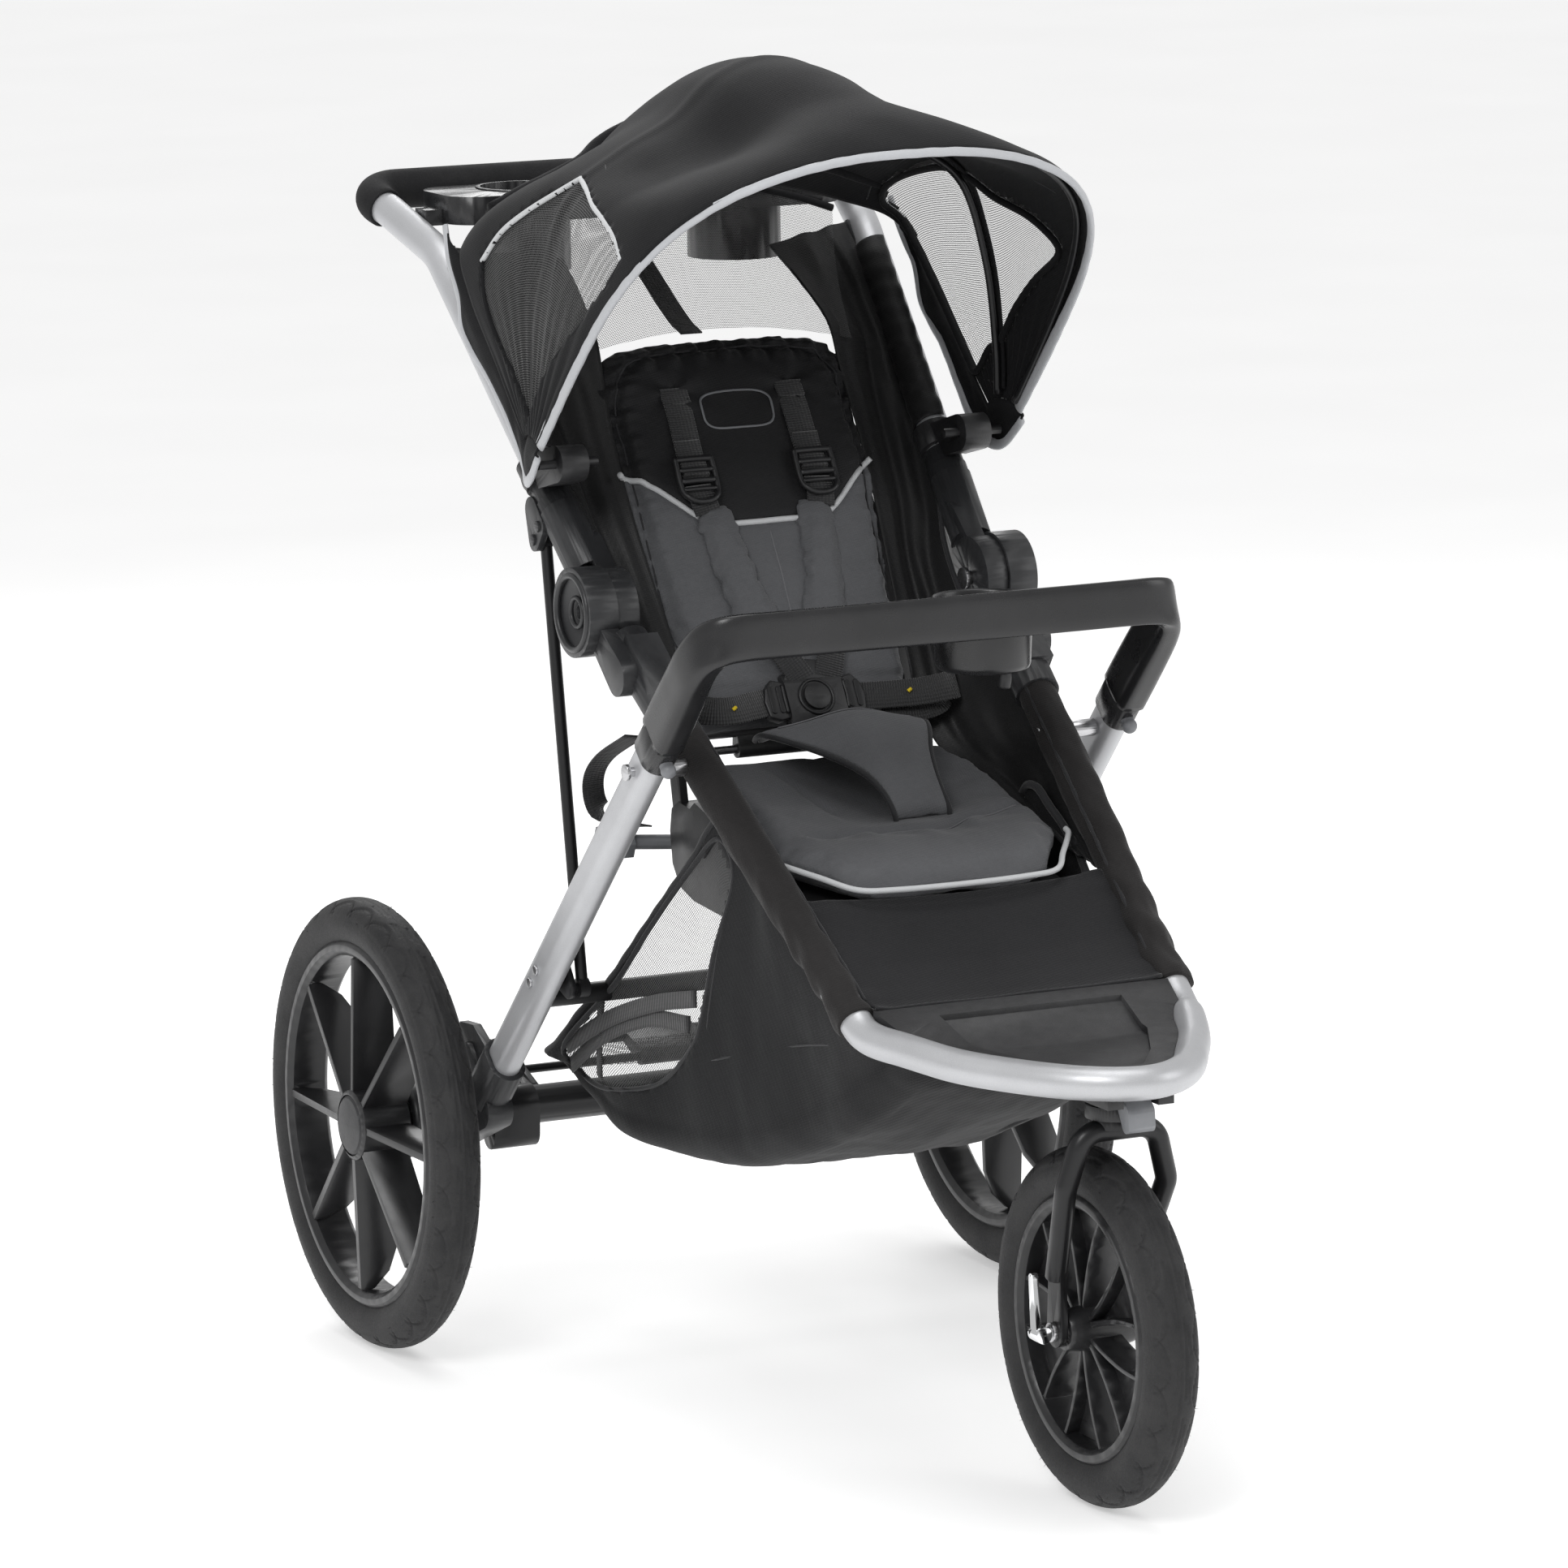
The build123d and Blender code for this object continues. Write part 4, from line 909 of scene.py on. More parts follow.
# Seams round the windows, in the same terms.
FRONT_SEAM = [(down - 0.035, angle + 2.6) for down, angle in (
    (0.50, 88), (0.535, 96), (0.572, 106), (0.592, 114), (0.622, 123), (0.66, 129.5))]
REAR_SEAMS = {
    -1: [(0.517, 86), (0.56, 78), (0.60, 69), (0.65, 58), (0.69, 50), (0.72, 44.5)],
    1: [(0.50, 86), (0.512, 75), (0.508, 64), (0.49, 54), (0.49, 45)],
}
LOW_SEAMS = {
    -1: [(0.69, 49), (0.78, 47), (0.87, 53), (0.95, 70), (0.985, 86)],
    1: [(0.952, 50), (0.962, 60), (0.974, 75), (0.985, 86)],
}
SKIRT_TRIM = [  # half width, y, z down the skirt's lower edge
    (216, 20, 984), (219, 6, 955), (221, -18, 926), (221.5, -26, 899), (221, -44, 881),
    (219, -76, 860), (216, -120, 818), (217, -142, 794), (223, -160, 783), (228, -180, 788),
    (231, -203, 808)]


@cache
def arch_profile(angle):
    i = max(k for k in range(len(ARCH_ANGLES) - 1) if ARCH_ANGLES[k] <= angle)
    part = (angle - ARCH_ANGLES[i]) / (ARCH_ANGLES[i + 1] - ARCH_ANGLES[i])
    return between(ARCH_ROWS, i, part)


def arch_point(across, angle, off=0.0):
    """Bare canopy surface: across -1..1 (0 the ridge), off mm outward."""
    rows = arch_profile(angle)
    i, part = span(len(rows), abs(across))
    before = rows[i - 1] if i else np.array([-rows[1][0], rows[1][1]])
    after = rows[i + 2] if i + 2 < len(rows) else 2 * rows[-1] - rows[-2]
    here = catmull_rom(before, rows[i], rows[i + 1], after, part)
    slope = catmull_rom(before, rows[i], rows[i + 1], after, part + 0.02) - here
    normal = np.array((-slope[1], slope[0])) / hypot(*slope)
    if normal @ here < 0:
        normal = -normal
    x, radius = here + normal * off
    turn = radians(angle)
    return point(copysign(x, across) if across else 0.0,
                 PIVOT_Y + radius * cos(turn), PIVOT_Z + radius * sin(turn))


def arch_normal(across, angle):
    return (arch_point(across, angle, 10) - arch_point(across, angle)).normalized()


def canopy_relief(across, angle):
    """Folds of the cloth, mm outward."""
    down = abs(across)
    # ridge over the middle bow, slack between the bows
    lift = 1.8 * gauss(angle - 90, 2.2) * (1 - smooth(0.55, 0.7, down))
    lift += -1.6 * gauss(angle - 112, 9) * (1 - down)
    # broad and fine unevenness
    lift += 1.3 * noise3(across * 3.1, angle * 0.045, 2.0)
    lift += 0.8 * noise3(across * 9, angle * 0.11, 7.0)
    # puckers behind the brim, tension folds down the sides
    pucker = sin(across * 38 + 3 * noise3(across * 4, 0, 3)) * 0.35
    lift += 1.5 * gauss(angle - 131, 3.0) * pucker
    lift += 1.1 * sin(angle * 0.9 + across * 13) * smooth(0.62, 0.95, down) * 0.7
    return lift


def hood_point(across, angle, off=0.0):
    """The folded cloth's surface."""
    return arch_point(across, angle, off + canopy_relief(across, angle))


def hood_line(line, off):
    return [hood_point(across, angle, off) for across, angle in line]


def hood_surface(off=0.0):
    return lambda u, v: hood_point(-1 + 2 * v, lerp(REAR, BRIM, u), off)


def window_test(u, v, test, *reach):
    across = -1 + 2 * v
    return test(abs(across), lerp(REAR, BRIM, u), WINDOWS[1 if across > 0 else -1], *reach)


def canopy_piece(obj, replaces=None):
    """Fan a piece out between the upright and the front bow: its weight grows with the angle."""
    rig.blend(obj, "upper_frame", "canopy_front", start=point(0, 72, 1033),
             end=point(0, -460, 1077))
    weights = []
    for vertex in obj.data.vertices:
        _, y, z = layout(vertex.co)
        y, z = y - PIVOT_Y, z - PIVOT_Z
        angle = degrees(atan2(z, y))
        weight = min(1.0, max(0.0, (angle - REAR) / (133.0 - REAR)))
        if hypot(y, z) < 14:
            weight = 0.5  # too near the pivot for the angle to mean anything
        if angle < -90:
            weight = 1.0  # below and in front of the pivot
        weights.append(weight)
    obj.data.attributes["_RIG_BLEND"].data.foreach_set("value", np.array(weights, np.float32))
    if replaces:
        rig.replaces(obj, replaces)
    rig.slot(obj, "canopy_cloth")


def canopy_cloth():
    nu, nv = 96, 150
    canopy_piece(sheet("canopy_cloth", hood_surface(), nu, nv, "canopy_cloth", thick=-2.2,
                       keep=lambda u, v: not window_test(u, v, inside)), "canopy_fabric")
    # the mesh laps one cell under the cloth round it
    canopy_piece(sheet("canopy_windows", hood_surface(-0.9), nu, nv, "mesh_window", thick=-0.5,
                       keep=lambda u, v: window_test(u, v, near, 0.008, 0.9), closed=False))


def brim_binding():
    """Light binding, wider towards the lower corners, and two hem lines behind it."""
    line = spread(1, 60)
    canopy_piece(tube(
        "canopy_brim", [arch_point(across, BRIM, -0.5) for across in line],
        lambda part: 4.3 + 2.8 * (gauss(part, 0.10) + gauss(part - 1, 0.10)), "trim_silver",
        sides=14, per=3, thick=3.0, up=catmull([arch_normal(a, BRIM) for a in line], 3),
        wobble=lambda run, turn: 0.05 * sin(run * 260 + 2 * sin(turn)) * sin(run * 33)))
    for name, angle, off in (("canopy_hem_a", 133.2, 0.9), ("canopy_hem_b", 131.6, 0.7)):
        line = hood_line([(across, angle) for across in spread(0.97, 50)], off)
        canopy_piece(tube(name, line, 0.7, "stitch_black", sides=6, per=3))


def window_edging(side, word):
    edge = [(side * down, angle) for down, angle in WINDOWS[side]]
    canopy_piece(tube(f"window_lining_{word}", hood_line(edge, -3.0), 3.0, "canopy_cloth",
                      sides=10, closed=True))
    # light piping on the two upper sides, black binding on the rest
    for name, line, off, radius, material in (
            ("piping_rear", edge[:5], 0.8, 2.3, "piping_light"),
            ("piping_front", edge[4:10], 0.8, 2.5, "piping_light"),
            ("binding", edge[9:] + edge[:1], 0.4, 2.0, "canopy_cloth")):
        canopy_piece(tube(f"window_{name}_{word}", hood_line(line, off), radius, material,
                          sides=10, per=7))
    # cloth rib crossing the window over the middle bow
    rib = [(side * down, MIDDLE_BOW) for down in (0.50, 0.58, 0.66, 0.74, 0.82, 0.90, 0.97)]
    canopy_piece(strap(f"window_rib_{word}", hood_line(rib, -2.6),
                       [arch_normal(*place) for place in rib], 11, 2.2, "canopy_cloth"))
    for name, seam in (("front", FRONT_SEAM), ("rear", REAR_SEAMS[side]),
                       ("low", LOW_SEAMS[side])):
        line = hood_line([(side * down, angle) for down, angle in seam], 1.0)
        canopy_piece(tube(f"seam_{name}_{word}", line, 0.9, "stitch_black", sides=6))


def canopy_bows():
    """Rods just under the cloth."""
    for name, reach, count, angle, off, radius in (
            ("middle", 0.985, 40, MIDDLE_BOW, -7.5, 3.4), ("front", 0.99, 44, 132.5, -6.0, 3.2)):
        line = [arch_point(across, angle, off) for across in spread(reach, count)]
        attach(tube(f"canopy_{name}_bow_rod", line, radius, "dark_paint", per=3),
               f"canopy_{name}", "dark_metal", f"canopy_{name}_bow")


def top_seams():
    for side, word in SIDES:
        line = hood_line([(side * 0.30, 45 + k * 4.3) for k in range(21)], 0.5)
        canopy_piece(tube(f"canopy_top_seam_{word}", line, 0.8, "stitch_black", sides=6, per=4))


def skirt(side, word):
    """Cloth from the rear arch down to the upright, with light trim on its lower edge."""
    trim = [point(side * x, y, z) for x, y, z in SKIRT_TRIM]
    hem = catmull(trim, 6)

    def surface(u, v):
        i, part = span(len(hem), u)
        top = arch_point(side * (0.60 + 0.40 * min(u * 1.25, 1.0)),
                         lerp(REAR, BRIM, smooth(0.8, 1.0, u)))
        bulge = sin(pi * v) * (3.0 + 2.2 * noise3(u * 9, v * 2, 5)) / 1000
        return top.lerp(hem[i].lerp(hem[i + 1], part), v) + Vector((side * bulge, 0, 0))

    attach(sheet(f"canopy_skirt_{word}", surface, 60, 14, "canopy_cloth", thick=2.0 * side),
           "upper_frame", "canopy_cloth")
    attach(tube(f"skirt_trim_{word}", trim, lambda part: 4.0 + 1.8 * gauss(part - 0.75, 0.16),
                "trim_silver", thick=2.3, up=Vector((side, 0, 0)),
                wobble=lambda run, turn: 0.06 * sin(run * 210 + turn)),
           "upper_frame", "canopy_cloth")


def rear_panel_point(u, v):
    """Panel between the canopy (u 0) and the top of the seat (u 1)."""
    x = lerp(-170, 170, v)
    top = point(x, 44, 1006 - 0.0011 * x * x)
    place = top.lerp(point(x * 0.80, -62, 888 - 0.0006 * x * x), u)
    place.y += 0.010 * sin(pi * u) + 0.0012 * noise3(u * 6, v * 9, 1)
    return place


def canopy_rear():
    attach(sheet("rear_mesh_panel", rear_panel_point, 30, 60, "mesh_rear", thick=0.6,
                 closed=False), "upper_frame", "canopy_cloth")
    attach(tube("rear_panel_top_binding", [rear_panel_point(0.0, v) for v in steps(20)], 3.5,
                "canopy_cloth", sides=10, per=3), "upper_frame", "canopy_cloth")
    # padded roll of the stowed flap
    canopy_piece(tube(
        "stowed_flap_roll", [arch_point(across, 52, 3.0) for across in spread(0.52, 16)],
        lambda part: 7.5 * (0.55 + 0.45 * smooth(0, 0.08, part) * smooth(0, 0.08, 1 - part)),
        "canopy_cloth", sides=14, per=5, thick=6.0,
        wobble=lambda run, turn: 0.05 * sin(run * 120 + turn * 2)))
    line = [(-20, 60, 990), (-20, 52, 950), (-19, 20, 925), (-18, -30, 895), (-18, -58, 885)]
    attach(strap("tray_hanging_strap", [point(*p) for p in line], Vector((0, -1, 0.3)), 21, 1.6),
           "upper_frame", "webbing")


canopy_cloth()
brim_binding()
for side, word in SIDES:
    window_edging(side, word)
canopy_bows()
top_seams()
for side, word in SIDES:
    skirt(side, word)
canopy_rear()


# =============================== SOFT SEAT ================================================
class Plane:
    """A seat plane with its own mm: x across, y along it from the crease, z off its face."""

    def __init__(self, origin, along, out):
        self.origin, self.along, self.out = origin, along, out  # each as layout (y, z)
        self.normal = Vector((0, *out))

    def at(self, x, y, z=0.0):
        rows = zip(self.origin, self.along, self.out)
        return point(x, *(start + along * y + out * z for start, along, out in rows))

    def local(self, place):
        x, y, z = layout(place)
        y, z = y - self.origin[0], z - self.origin[1]
        return (x, y * self.along[0] + z * self.along[1], y * self.out[0] + z * self.out[1])


BACK = Plane((-259.0, 560.0), (0.5134, 0.8581), (-0.8581, 0.5134))
SEAT = Plane((-262.0, 548.0), (-0.9691, -0.2467), (-0.2467, 0.9691))


def slab(name, outline, plane, low, high, material):
    """A closed (x, y) outline given depth between two heights off a plane."""
    count = len(outline)
    verts = [plane.at(x, y, z) for z in (low, high) for x, y in outline]
    faces = [tuple(range(count)), tuple(range(2 * count - 1, count - 1, -1))]
    for i in range(count):
        beside = (i + 1) % count
        faces.append((i, i + count, beside + count, beside))
    obj = new_object(name, verts, faces, material)
    face_outward(obj)
    return obj


def inflate(obj, cap):
    """Swell a mesh under cloth pressure, no vertex moving more than cap mm."""
    count = len(obj.data.vertices)
    start, end = np.empty(count * 3, np.float32), np.empty(count * 3, np.float32)
    obj.data.vertices.foreach_get("co", start)
    modifier = obj.modifiers.new("cloth", "CLOTH")
    for key, value in dict(quality=4, mass=0.25, tension_stiffness=12, compression_stiffness=12,
                           shear_stiffness=4, bending_stiffness=0.4, use_pressure=True,
                           uniform_pressure_force=4.0).items():
        setattr(modifier.settings, key, value)
    modifier.settings.effector_weights.gravity = 0
    modifier.point_cache.frame_start = 1
    modifier.point_cache.frame_end = 20
    for k in range(1, 21):
        bpy.context.scene.frame_set(k)
    apply_modifiers(obj)
    bpy.context.scene.frame_set(1)
    obj.data.vertices.foreach_get("co", end)
    move = (end - start).reshape(-1, 3)
    length = np.linalg.norm(move, axis=1)
    limit = cap / 1000.0
    scale = np.where(length > limit, limit / np.maximum(length, 1e-9), 1.0)
    obj.data.vertices.foreach_set("co", (start.reshape(-1, 3) + move * scale[:, None]).ravel())


def puff(obj, voxel, cap):
    """Voxel remesh (mm), swell into a cushion, subdivide."""
    remesh = obj.modifiers.new("remesh", "REMESH")
    remesh.mode = "VOXEL"
    remesh.voxel_size = voxel / 1000.0
    remesh.use_smooth_shade = True
    apply_modifiers(obj)
    if QUICK:
        relax(obj, 8)
    else:
        inflate(obj, cap)
    subdivide = obj.modifiers.new("subdivide", "SUBSURF")
    subdivide.levels = subdivide.render_levels = 1
    apply_modifiers(obj)
    shade_smooth(obj.data)
    return obj


def mould(obj, plane, relief):
    """Move each vertex off the plane by relief(x, y, facing) mm."""
    mesh = obj.data
    facings = [vertex.normal.dot(plane.normal) for vertex in mesh.vertices]
    for vertex, facing in zip(mesh.vertices, facings):
        x, y, _ = plane.local(vertex.co)
        vertex.co += plane.normal * (relief(x, y, facing) / 1000.0)
    mesh.update()


def surface_tree(obj):
    mesh = obj.data
    return BVHTree.FromPolygons([vertex.co.copy() for vertex in mesh.vertices],
                                [tuple(face.vertices) for face in mesh.polygons])


def drop(tree, plane, x, y, height, off):
    """Dropped from height onto the cloth under (x, y), off mm above it."""
    hit = tree.ray_cast(plane.at(x, y, height), -plane.normal, 0.12)[0]
    return (hit or plane.at(x, y)) + plane.normal * (off / 1000.0)


def segment_distance(x, y, start, end):
    dx, dy = end[0] - start[0], end[1] - start[1]
    part = ((x - start[0]) * dx + (y - start[1]) * dy) / (dx * dx + dy * dy)
    part = max(0.0, min(1.0, part))
    return hypot(x - start[0] - part * dx, y - start[1] - part * dy)


# ---- seat back quilt ----
BORDER_SEAM = mirrored([(-104, 12), (-107, 120), (-109, 250), (-108, 318), (-98, 345),
                        (-76, 359), (0, 364)])


def back_half_width(y):
    return lerp(109, 127, smooth(-20, 270, y))


def piping_height(x):
    """Where the piping between the grey lower and black upper cloth crosses x."""
    side_x = abs(x - 4)
    return 196 + 52 * smooth(45, 122, side_x) + 4 * smooth(100, 128, side_x)


def back_relief(x, y, facing):
    if facing < 0.15:
        return 0.0
    gap = min(segment_distance(x, y, *ends) for ends in zip(BORDER_SEAM, BORDER_SEAM[1:]))
    # border seam and the puckers beside it
    lift = -5.0 * gauss(gap, 3.6)
    run = x * 0.11 if y > 345 else y * 0.11
    pucker = 2.6 * sin(run * 2.1 + 2.4 * noise3(x * 0.02, y * 0.02, 0)) + 1.5 * sin(run * 4.7)
    lift += pucker * gauss(gap - 5, 8) * (0.9 if y > 300 else 0.45)
    # crown of the middle, valley of the piping
    crown = 1 - (min(abs(x), 108) / 108.0) ** 2
    lift += 5.5 * crown * smooth(0, 60, y) * smooth(386, 320, y)
    lift += -3.6 * gauss(y - piping_height(x), 4.2)
    # broad soft dents
    lift += 3.0 * noise3(x * 0.013, y * 0.012, 3) + 1.4 * noise3(x * 0.035, y * 0.03, 9)
    if y < piping_height(x):
        # cross creases of the lower panel and its centre seam
        lift += 2.4 * noise3(x * 0.012, y * 0.055, 21) * smooth(40, 100, abs(x))
        lift += 2.2 * gauss(y - 62, 7) * sin(x * 0.05)
        lift -= 3.0 * gauss(y - 45, 5) * smooth(20, 60, abs(x))
        lift += -1.6 * gauss(x - 2, 2.5)
    else:
        # pulls round the strap slots
        for side in (-1, 1):
            dx, dy = x - side * 55, y - 322
            reach = hypot(dx, dy)
            lift += 2.0 * gauss(reach, 34) * sin(atan2(dy, dx) * 5 + side)
            lift -= 3.4 * gauss(reach, 11)
    return lift


def seat_back_quilt():
    half = [(-back_half_width(y), y) for y in (6, *range(30, 331, 30))]
    for k in range(1, 8):
        turn = pi / 2 * k / 7
        half.append((-(back_half_width(330) - 42 + 42 * cos(turn)), 334 + 46 * sin(turn)))
    half += [(-60, 383), (0, 385)]
    quilt = puff(slab("seat_back_quilt", mirrored(half), BACK, -23, -5, "seat_cloth_black"),
                 voxel=5.0, cap=9.0)
    mould(quilt, BACK, back_relief)
    quilt.data.materials.append(MATERIALS["seat_cloth_grey"])
    for face in quilt.data.polygons:
        x, y, z = BACK.local(face.center)
        face.material_index = 1 if y < piping_height(x) and z > -17 else 0
    return attach(quilt, "seat_back", "seat_cloth_black", "seat_back_pad")


BACK_TREE = surface_tree(seat_back_quilt())


def on_back(x, y, off=0.0):
    return drop(BACK_TREE, BACK, x, y, 40, off)


def back_piece(obj, slot="seat_cloth_black", replaces=None):
    attach(obj, "seat_back", slot, replaces)


def seat_back_lines():
    piping = [on_back(x, piping_height(x), 1.2) for x in range(-122, 123, 6)]
    back_piece(tube("seat_back_piping", piping, 2.6, "piping_light", sides=10, per=3),
               "seat_cloth_grey")
    seam = catmull([(x, y, 0) for x, y in BORDER_SEAM], 6)
    back_piece(tube("seat_back_border_seam", [on_back(p.x, p.y, 0.2) for p in seam], 0.9,
                    "stitch_black", sides=6, per=1))
    back_piece(tube("seat_back_centre_seam", [on_back(2, y, 0.1) for y in range(60, 192, 8)],
                    0.7, "stitch_thread", sides=6, per=2), "seat_cloth_grey")
    # blank badge outline, a rounded shield
    badge = []
    for turn in angles(48):
        across, up = cos(turn), sin(turn)
        half_width = 35.5 - 3.5 * (1 - up) * 0.5
        half_height = 16.5 + (2.0 * (1 - abs(across)) if up > 0 else 0)
        badge.append(on_back(half_width * copysign(abs(across) ** 0.42, across),
                             301 + half_height * copysign(abs(up) ** 0.5, up), 0.5))
    back_piece(tube("seat_badge_outline", badge, 1.1, "grey_plastic", sides=8, per=2,
                    closed=True, thick=0.8))


seat_back_lines()

# ---- cushion ----
CUSHION_EDGE = mirrored([(-139, 200), (-136, 211), (-114, 244), (-93, 274), (-60, 281),
                         (0, 283)])


def valley(x):
    """Line of the sewn valley across the cushion."""
    return 168 - 0.10 * (x - 10) + 16 * gauss(x - 22, 34)


def cushion_relief(x, y, facing):
    if facing < 0.1:
        return 0.0
    # hollow in the middle, full front roll, side rolls
    lift = -11.0 * gauss(y - 112, 62.0) * gauss(x - 6, 84.0)
    lift += 5.5 * gauss(y - 226, 34.0) * (1 - 0.35 * (x / 137.0) ** 2)
    lift += 2.5 * gauss(abs(x) - 112, 16.0) * smooth(200, 120, y)
    # sewn valley with puckers fanning off it
    ahead = y - valley(x)
    lift += -4.5 * gauss(ahead, 5.5) * smooth(125, 92, abs(x - 15))
    pucker = 2.1 * sin(x * 0.12 + 2.0 * noise3(x * 0.03, y * 0.03, 5))
    lift += pucker * gauss(ahead - 9, 13)
    # a crease along each side
    fade = smooth(20, 50, y) * smooth(150, 110, y)
    lift += -3.2 * gauss(x + 58 - 0.25 * (y - 60), 5) * fade
    lift += -3.2 * gauss(x - 74 + 0.15 * (y - 60), 5) * fade
    # soft dents, then the front rounding down
    lift += 3.0 * noise3(x * 0.014, y * 0.02, 31) + 1.3 * noise3(x * 0.04, y * 0.05, 12)
    return lift - 0.00352 * max(0.0, y - 236) ** 2


def seat_cushion_quilt():
    half = [(-lerp(110, 137, smooth(-10, 80, y)), y) for y in (4, 30, 60, 90, 120, 150, 180, 200)]
    half += [(-130, 214), (-92, 270), (-70, 276), (0, 277)]
    quilt = puff(slab("seat_cushion_quilt", mirrored(half), SEAT, -17, -4, "seat_cloth_grey"),
                 voxel=5.0, cap=8.0)
    mould(quilt, SEAT, cushion_relief)
    return attach(quilt, "lower_frame", "seat_cloth_grey", "seat_cushion")


CUSHION_TREE = surface_tree(seat_cushion_quilt())


def on_cushion(x, y, off=0.0):
    return drop(CUSHION_TREE, SEAT, x, y, 50, off)


def low_piece(obj, slot="seat_cloth_black", replaces=None):
    attach(obj, "lower_frame", slot, replaces)


def cushion_lines():
    piping = [SEAT.at(x, y, SEAT.local(on_cushion(x * 0.985, y - 3.0))[2] - 3.5)
              for x, y in CUSHION_EDGE]
    low_piece(tube("cushion_piping", piping, 2.5, "piping_light", sides=10, per=8),
              "seat_cloth_grey")
    seam = [on_cushion(x, valley(x), 0.3) for x in range(-96, 125, 8)]
    low_piece(tube("cushion_cross_seam", seam, 0.8, "stitch_thread", sides=6, per=3),
              "seat_cloth_grey")


cushion_lines()

# ---- crotch pad: a wide yoke under the buckle, bridging down to the cushion ----
CROTCH = arrays([  # centre x, y, z, half width, arch
    (4, -283, 572, 72, 2), (5, -300, 577, 76, 5), (6, -322, 578, 70, 9), (9, -345, 572, 58, 10),
    (13, -366, 562, 44, 8), (18, -386, 549, 33, 5), (22, -402, 533, 27, 3),
    (25, -411, 518, 26, 2), (26, -411, 508, 25, 1)])


def crotch_point(u, v, off=0.0):
    x, y, z, half_width, arch = station(CROTCH, u)
    across = 2 * v - 1
    droop = arch * (1 - across * across) - 7.0 * abs(across) ** 3 * (1 - u)
    fold = 2.6 * sin(across * 5 + u * 9) * (1 - u) * smooth(0, 0.15, u)
    fold += 1.8 * noise3(across * 1.4, u * 5, 4)
    return point(x + half_width * across, y - 0.35 * droop, z + droop + fold + off)


def crotch_pad():
    pad = sheet("crotch_pad", crotch_point, 44, 36, "seat_cloth_grey", thick=7.0)
    relax(pad, 3)
    low_piece(pad, "seat_cloth_grey", "crotch_strap")
    for word, v in (("left", 0.0), ("right", 1.0)):
        low_piece(tube(f"crotch_binding_{word}", [crotch_point(u, v, -2.5) for u in steps(16)],
                       2.6, "dark_binding", sides=8, per=4))
    stitch = [crotch_point(0.16 + 0.02 * sin(v * 6.28), 0.08 + 0.84 * v, 1.0)
              for v in steps(20)]
    low_piece(tube("crotch_stitch", stitch, 0.7, "stitch_thread", sides=6, per=3),
              "seat_cloth_grey")
    line = [BACK.at(4, 8, 16), BACK.at(4, -4, 17), point(4, -293, 579), point(5, -306, 583)]
    normals = [BACK.normal, BACK.normal, Vector((0, -0.4, 1)), Vector((0, -0.2, 1))]
    low_piece(strap("crotch_webbing", line, normals, 26, 1.8), "webbing")


crotch_pad()

# ---- harness ----
STRAP_X = 57  # of the ladder locks, either side
LOCK_Y = 236  # up the back
LOCK_OUTLINE = [(-17, 17), (-14, 19.5), (14, 19.5), (17, 17), (17, -8), (13, -17), (6, -21),
                (-6, -21), (-13, -17), (-17, -8)]
PAD_OUTLINE = [  # right shoulder pad before its 0.97 narrowing, as are the piping points
    (37, 216), (56, 213), (66, 209), (73, 198), (71, 178), (68, 150), (63, 122), (59, 94),
    (54, 90), (10, 90), (5, 96), (12, 130), (20, 165), (28, 198), (33, 213)]
PAD_NARROWING = 0.97
PAD_PIPING = [(30, 212), (37, 217), (56, 214.5), (66, 210.5), (73.5, 199), (72, 178),
              (68.5, 150), (63.5, 122), (60, 96), (57, 90)]
BUCKLE_Y = 26


def back_webbing(name, points, width=25, thick=1.8, normals=BACK.normal):
    back_piece(strap(name, points, normals, width, thick), "webbing")


def back_line(rows):
    return [BACK.at(*row) for row in rows]


def shoulder_webbing(side, word):
    """Webbing from the slot through the ladder lock and pad to the buckle."""
    def laid(rows):
        return [on_back(side * x, y, off) for x, y, off in rows]

    back_webbing(f"shoulder_webbing_{word}", laid([
        (55, 324, -2), (55, 318, 1.6), (55.5, 300, 2.0), (56, 275, 2.0), (57, 250, 3.2),
        (57, 236, 5.0)]))
    back_webbing(f"slot_fold_{word}", laid([(55, 326, 1.0), (55, 319, 3.4), (55, 311, 3.6)]),
                 25.6, 1.6)
    back_webbing(f"adjuster_tail_{word}", laid([
        (57, 275, 3.8), (57, 262, 4.2), (57, 250, 5.6), (57, 240, 7.4)]), 24, 1.7)
    # ladder lock: a moulded frame with three crossbars and a raised lower lip
    x = side * STRAP_X
    height = BACK.local(on_back(x, LOCK_Y, 6.5))[2]
    frame = [(x + dx, LOCK_Y + dy, height + (2.5 if dy < -12 else 0)) for dx, dy in LOCK_OUTLINE]
    back_piece(tube(f"ladder_lock_{word}", back_line(frame), 2.6, "black_plastic", sides=10,
                    closed=True, thick=3.0), "black_plastic")
    for letter, dy, radius in (("a", 9, 2.2), ("b", -1, 2.6), ("c", -9, 1.9)):
        bar = [(x + dx, LOCK_Y + dy, height + lift) for dx, lift in ((-16, 1), (0, 2), (16, 1))]
        back_piece(tube(f"ladder_bar_{letter}_{word}", back_line(bar), radius, "black_plastic",
                        sides=10, per=5), "black_plastic")
    back_webbing(f"pad_webbing_{word}", back_line([
        (side * 57, 232, height - 3), (side * 56, 216, height - 1), (side * 54, 205, height - 2)]))
    back_webbing(f"lower_webbing_{word}", back_line([
        (side * 33 + 1, 106, 12), (side * 28 + 2, 86, 15), (side * 21 + 3, 64, 18),
        (side * 13 + 4, 46, 17), (side * 11 + 4, 38, 15)]))


